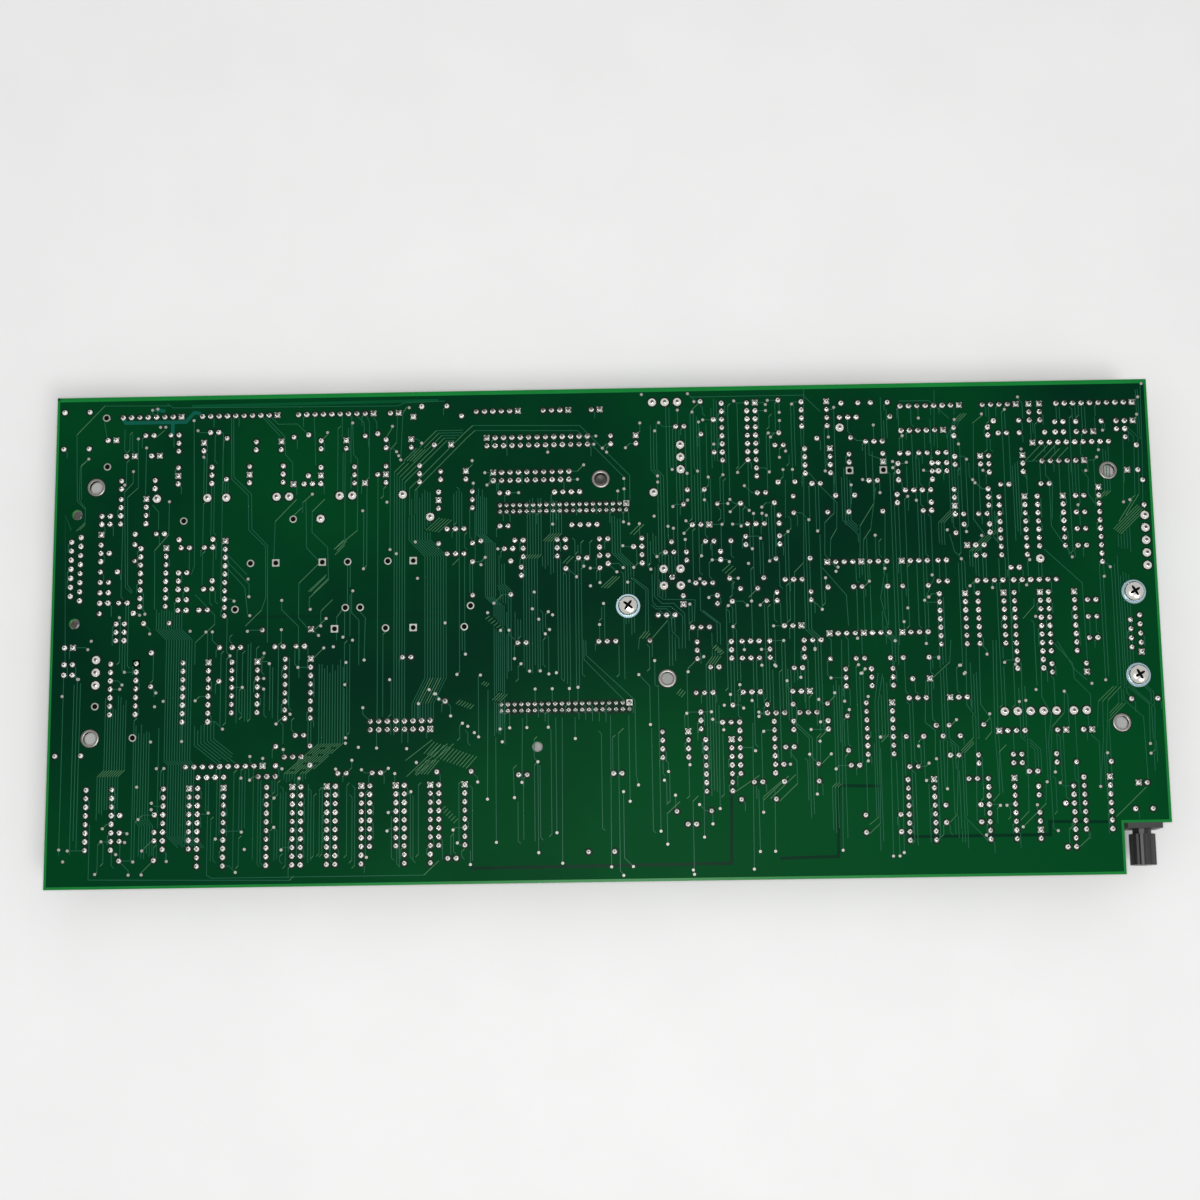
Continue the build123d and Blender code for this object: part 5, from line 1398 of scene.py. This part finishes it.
HALF_ROD = [(-0.5, 0.3), (-0.5, 0.85), (-0.45, 1.0), (-0.32, 1.0), (-0.26, 0.84)]
ROD = HALF_ROD + [(-share, reach) for share, reach in reversed(HALF_ROD)]
rod_boxes = islands("resistors")
rods = new_piece(
    "resistor rods", *together(*[lying_rod(low, high, ROD) for low, high in rod_boxes]),
    finish("beige lacquer", (0.46, 0.3, 0.15), (0.6, 0.42, 0.24), 0.35, grain=300, coat=0.2),
    "resistor_coating", smooth=True,
)
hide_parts("resistors")
wires = [shape for low, high in rod_boxes for shape in rod_wires(low, high)]
new_piece("resistor wires", *together(*wires), TINNED, "tinned_leads")

# %% [markdown]
# ## Colour bands
# A resistor's value is painted on it as rings. The values here mean nothing: a seeded chance picks them, and
# each ring is a short turned sleeve just above the rod.

# %% Colour bands
BAND_HALF = 0.035           # share of the rod's length
BAND_COLOURS = {
    "brown": (0.09, 0.03, 0.01), "red": (0.4, 0.01, 0.008), "gold": (0.45, 0.3, 0.06),
    "violet": (0.12, 0.02, 0.2), "yellow": (0.6, 0.45, 0.02),
}
BAND_PLACES = (-0.385, -0.16, 0.02, 0.385)
bands = {name: [] for name in BAND_COLOURS}
for low, high in rod_boxes:
    value = [chance.choice(("brown", "yellow", "red")), chance.choice(("violet", "brown")), "red", "gold"]
    for name, share in zip(value, BAND_PLACES):
        reach = 1.015 if abs(share) > 0.3 else 0.86
        sleeve = [(share - BAND_HALF, reach), (share + BAND_HALF, reach)]
        bands[name].append(lying_rod(low, high, sleeve))
for name, shapes in bands.items():
    tone = BAND_COLOURS[name]
    paint = finish(f"{name} band paint", tuple(0.8 * c for c in tone), tone, 0.35, grain=200)
    new_piece(f"{name} resistor bands", *together(*shapes), paint, "resistor_coating", smooth=True)

# %% [markdown]
# ## Dipped capacitors
# A dipped ceramic capacitor is a lens standing on edge. A turned ball is squeezed to the box of each CAD
# body, so that it comes out as such a lens.

# %% Lenses on edge


def dipped_lens(low, high):
    """Ball squeezed to a lens that stands on edge in the box."""
    middle, size = (low + high) / 2, high - low
    corners, faces = [], []
    rings, sides = 7, 12
    thin = 0 if size[0] < size[1] else 1
    for r in range(rings + 1):
        tilt = pi * r / rings
        for i in range(sides):
            turn = 2 * pi * i / sides
            unit = [sin(tilt) * cos(turn), sin(tilt) * sin(turn), cos(tilt)]
            place = [0.0, 0.0, middle[2] + 0.5 * size[2] * unit[2]]
            place[1 - thin] = middle[1 - thin] + 0.5 * size[1 - thin] * unit[0]
            place[thin] = middle[thin] + 0.5 * size[thin] * unit[1]
            corners.append(place)
    for r in range(rings):
        for i in range(sides):
            j = (i + 1) % sides
            face = (r * sides + i, (r + 1) * sides + i, (r + 1) * sides + j, r * sides + j)
            faces.append(face if thin == 1 else face[::-1])
    return corners, faces


lens_shapes = [dipped_lens(low, high) for low, high in islands("ceramic_capacitors")]
lenses = new_piece("dipped capacitors", *together(*lens_shapes), OCHRE, "ceramic_coating", smooth=True)
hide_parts("ceramic_capacitors")

# %% [markdown]
# ## Header pins
# The headers' pins are square, with chamfered tips. Each CAD spike's box gives the place and reach.

# %% Square pins


def square_pin(low, high):
    """Square pin with a tapered tip."""
    x, y = (low[0] + high[0]) / 2, (low[1] + high[1]) / 2
    half = 0.32 * MM
    foot, tip = high[2], low[2]
    outline = [(half * 0.5, tip), (half, tip + 0.6 * MM), (half, foot)]
    corners, faces = turned([(r * 2 ** 0.5, z) for r, z in outline], 4, turn=pi / 4, close_foot=True)
    return [(x + a, y + b, z) for a, b, z in corners], faces


pin_shapes = [square_pin(low, high) for low, high in islands("header_pins")]
pins = new_piece("square header pins", *together(*pin_shapes), GOLD, "gilt_pins")
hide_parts("header_pins")

# %% [markdown]
# ## Marks and openings of the moulded parts
# A chip has a round notch at the end of its first pin. A terminal block has a screw over each wire, made here
# as a plain flat head, and a square opening for the wire in its outer wall. They are thin pieces on the
# imported bodies, because they are small against the bodies they sit on. The notches and the openings are
# dark patches of painted shade.

# %% Chip notches, wire openings and terminal screws
SKIN = 0.02 * MM            # how far a mark stands proud of its body
WIRE_PITCH = 6 * STEP
notches, openings, clamp_screws = [], [], []
for low, high in chip_boxes.values():
    centre_x = (low.x + high.x) / 2
    disc, faces = turned([(0.75 * MM, 0.0), (0.75 * MM, -SKIN)], 16)
    corners = [(centre_x + a, high.y - 1.0 * MM + b, low.z + z) for a, b, z in disc]
    notches.append((corners, [face[::-1] for face in faces]))
for low, high in islands("terminal_blocks"):
    middle, size, along = box_axes(low, high)
    count = max(2, round(size[along] / WIRE_PITCH))
    outward = 1 if middle[1 - along] > 0 else -1
    wall = high[1 - along] if outward > 0 else low[1 - along]
    for i in range(count):
        spot = low[along] + (i + 0.5) * size[along] / count
        a, b = np.zeros(3), np.zeros(3)
        a[along], b[along] = spot - 1.2 * MM, spot + 1.2 * MM
        a[1 - along], b[1 - along] = wall - 0.1 * MM * outward, wall + SKIN * outward
        a[2], b[2] = UNDER - 6.6 * MM, UNDER - 3.4 * MM
        openings.append(cuboid(*sorted_corner(a, b)))
        place = [0.0, 0.0]
        place[along], place[1 - along] = spot, middle[1 - along]
        head, faces = turned([(1.4 * MM, 0.0), (1.35 * MM, -SKIN)], 20)
        corners = [(place[0] + p, place[1] + q, z) for p, q, z in head]
        clamp_screws.append((corners, [face[::-1] for face in faces]))
# The notches and the wire openings are painted shade.
new_piece("first pin notches", *together(*notches), HOLE_DARK, "chip_plastic")
new_piece("wire openings", *together(*openings), HOLE_DARK, "terminal_plastic")
new_piece("clamp screws", *together(*clamp_screws), NICKEL, "plated_steel")

# %% [markdown]
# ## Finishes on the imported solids
# The moulded bodies, shells and boards are shown as they were packed, so they only need their finishes.

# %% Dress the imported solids
NODE_FINISHES = {
    "circuit_board": BOARD, "module_board": BOARD, "resistor_networks": NETWORK, "transistors": MOULDING,
    "electrolytic_capacitors": SLEEVE, "pin_headers": NYLON, "terminal_blocks": TERMINAL, "coax_jack": GOLD,
    "module_sockets": BLACK, "module_plugs": BLACK, "processor_chip": MOULDING, "memory_chips": MOULDING,
    "hexagon_spacers": NICKEL, "connector_9way_shell": TIN_SHELL, "connector_15way_shell": TIN_SHELL,
    "connector_9way_insulator": BLACK, "connector_15way_insulator": BLACK, "fibre_receptacle": BLACK,
    "fibre_lock_nut": BLACK,
}
for name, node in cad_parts.items():
    coat = NODE_FINISHES.get(name, MOULDING)
    node.data.materials.clear()
    node.data.materials.append(coat)
print("dressed", len(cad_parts), "nodes")

# %% [markdown]
# ## Floor
# The board lies on a plain pale table. One large square is enough, because only its tone and the soft shadow
# on it are seen.

# %% Floor
FLOOR_HALF = 20.0
TABLE = finish("pale table paper", (0.8, 0.8, 0.79), (0.86, 0.86, 0.85), 0.7, grain=30, bump=0.4)
floor_mesh = bpy.data.meshes.new("pale table")
floor_corners = [(a * FLOOR_HALF, b * FLOOR_HALF, 0) for a, b in ((-1, -1), (1, -1), (1, 1), (-1, 1))]
floor_mesh.from_pydata(floor_corners, [], [(0, 1, 2, 3)])
floor_mesh.materials.append(TABLE)
floor = bpy.data.objects.new("pale_table", floor_mesh)
bpy.context.scene.collection.objects.link(floor)
print("table of", 2 * FLOOR_HALF, "m")

# %% [markdown]
# ## Light
# A plain sky lights everything evenly, and rays from the camera or from a glossy surface see a steadier pale
# backdrop instead of it. A broad soft sun from the front right throws the short shadow to the back left, and
# a lamp at the camera's place reaches the table through the holes.

# %% Light
SKY_STRENGTH = 0.5
EYE_PLACE = (0.00775, -0.10467, 0.65488)
world = bpy.data.worlds.new("plain sky")
bpy.context.scene.world = world
world.use_nodes = True
sky_nodes, sky_links = world.node_tree.nodes, world.node_tree.links
sky = sky_nodes["Background"]
sky.inputs["Color"].default_value = (0.98, 0.99, 1.0, 1)
sky.inputs["Strength"].default_value = SKY_STRENGTH
backdrop = sky_nodes.new("ShaderNodeBackground")
backdrop.inputs["Color"].default_value = (0.83, 0.83, 0.82, 1)
seen = sky_nodes.new("ShaderNodeLightPath")
either = sky_nodes.new("ShaderNodeMath")
either.operation = "MAXIMUM"
any_seen = sky_nodes.new("ShaderNodeMath")
any_seen.operation = "MAXIMUM"
sky_links.new(seen.outputs["Is Camera Ray"], either.inputs[0])
sky_links.new(seen.outputs["Is Glossy Ray"], either.inputs[1])
sky_links.new(either.outputs[0], any_seen.inputs[0])
sky_links.new(seen.outputs["Is Transmission Ray"], any_seen.inputs[1])
sky_or_backdrop = sky_nodes.new("ShaderNodeMixShader")
sky_links.new(any_seen.outputs[0], sky_or_backdrop.inputs["Fac"])
sky_links.new(sky.outputs[0], sky_or_backdrop.inputs[1])
sky_links.new(backdrop.outputs[0], sky_or_backdrop.inputs[2])
sky_links.new(sky_or_backdrop.outputs[0], sky_nodes["World Output"].inputs["Surface"])
sun = bpy.data.lights.new("soft window", "SUN")
sun.energy = 0.8
sun.angle = radians(24)
sun_object = bpy.data.objects.new("soft window", sun)
sun_object.rotation_euler = (radians(28), radians(24), 0)
bpy.context.scene.collection.objects.link(sun_object)
overhead = bpy.data.lights.new("lamp beside the camera", "POINT")
overhead.energy = 6.5
overhead.shadow_soft_size = 0.03
overhead_object = bpy.data.objects.new("lamp beside the camera", overhead)
overhead_object.location = EYE_PLACE
bpy.context.scene.collection.objects.link(overhead_object)
print("light: sky at", SKY_STRENGTH, "a soft sun at", sun.energy, "and a lamp at", overhead.energy)

# %% [markdown]
# ## Camera
# It looks almost straight down. Its place, turn and lens were fitted to places on the board whose grid steps
# are known.

# %% Camera
LENS = 65.46                # millimetres, on a sensor 36 mm wide
EYE_TURN = (0.1756, 0.016, -0.014)
camera = bpy.data.cameras.new("view from above")
camera.lens = LENS
camera.sensor_width = 36.0
camera.clip_end = 100
eye = bpy.data.objects.new("view from above", camera)
eye.location = EYE_PLACE
eye.rotation_euler = EYE_TURN
bpy.context.scene.collection.objects.link(eye)
bpy.context.scene.camera = eye
bpy.context.scene.view_settings.view_transform = "Standard"
print("camera at", [round(v, 3) for v in eye.location])

# %% [markdown]
# ## The last update
# The view layer is updated once more, so that every object's matrices are current.

# %% Update the view layer
bpy.context.view_layer.update()
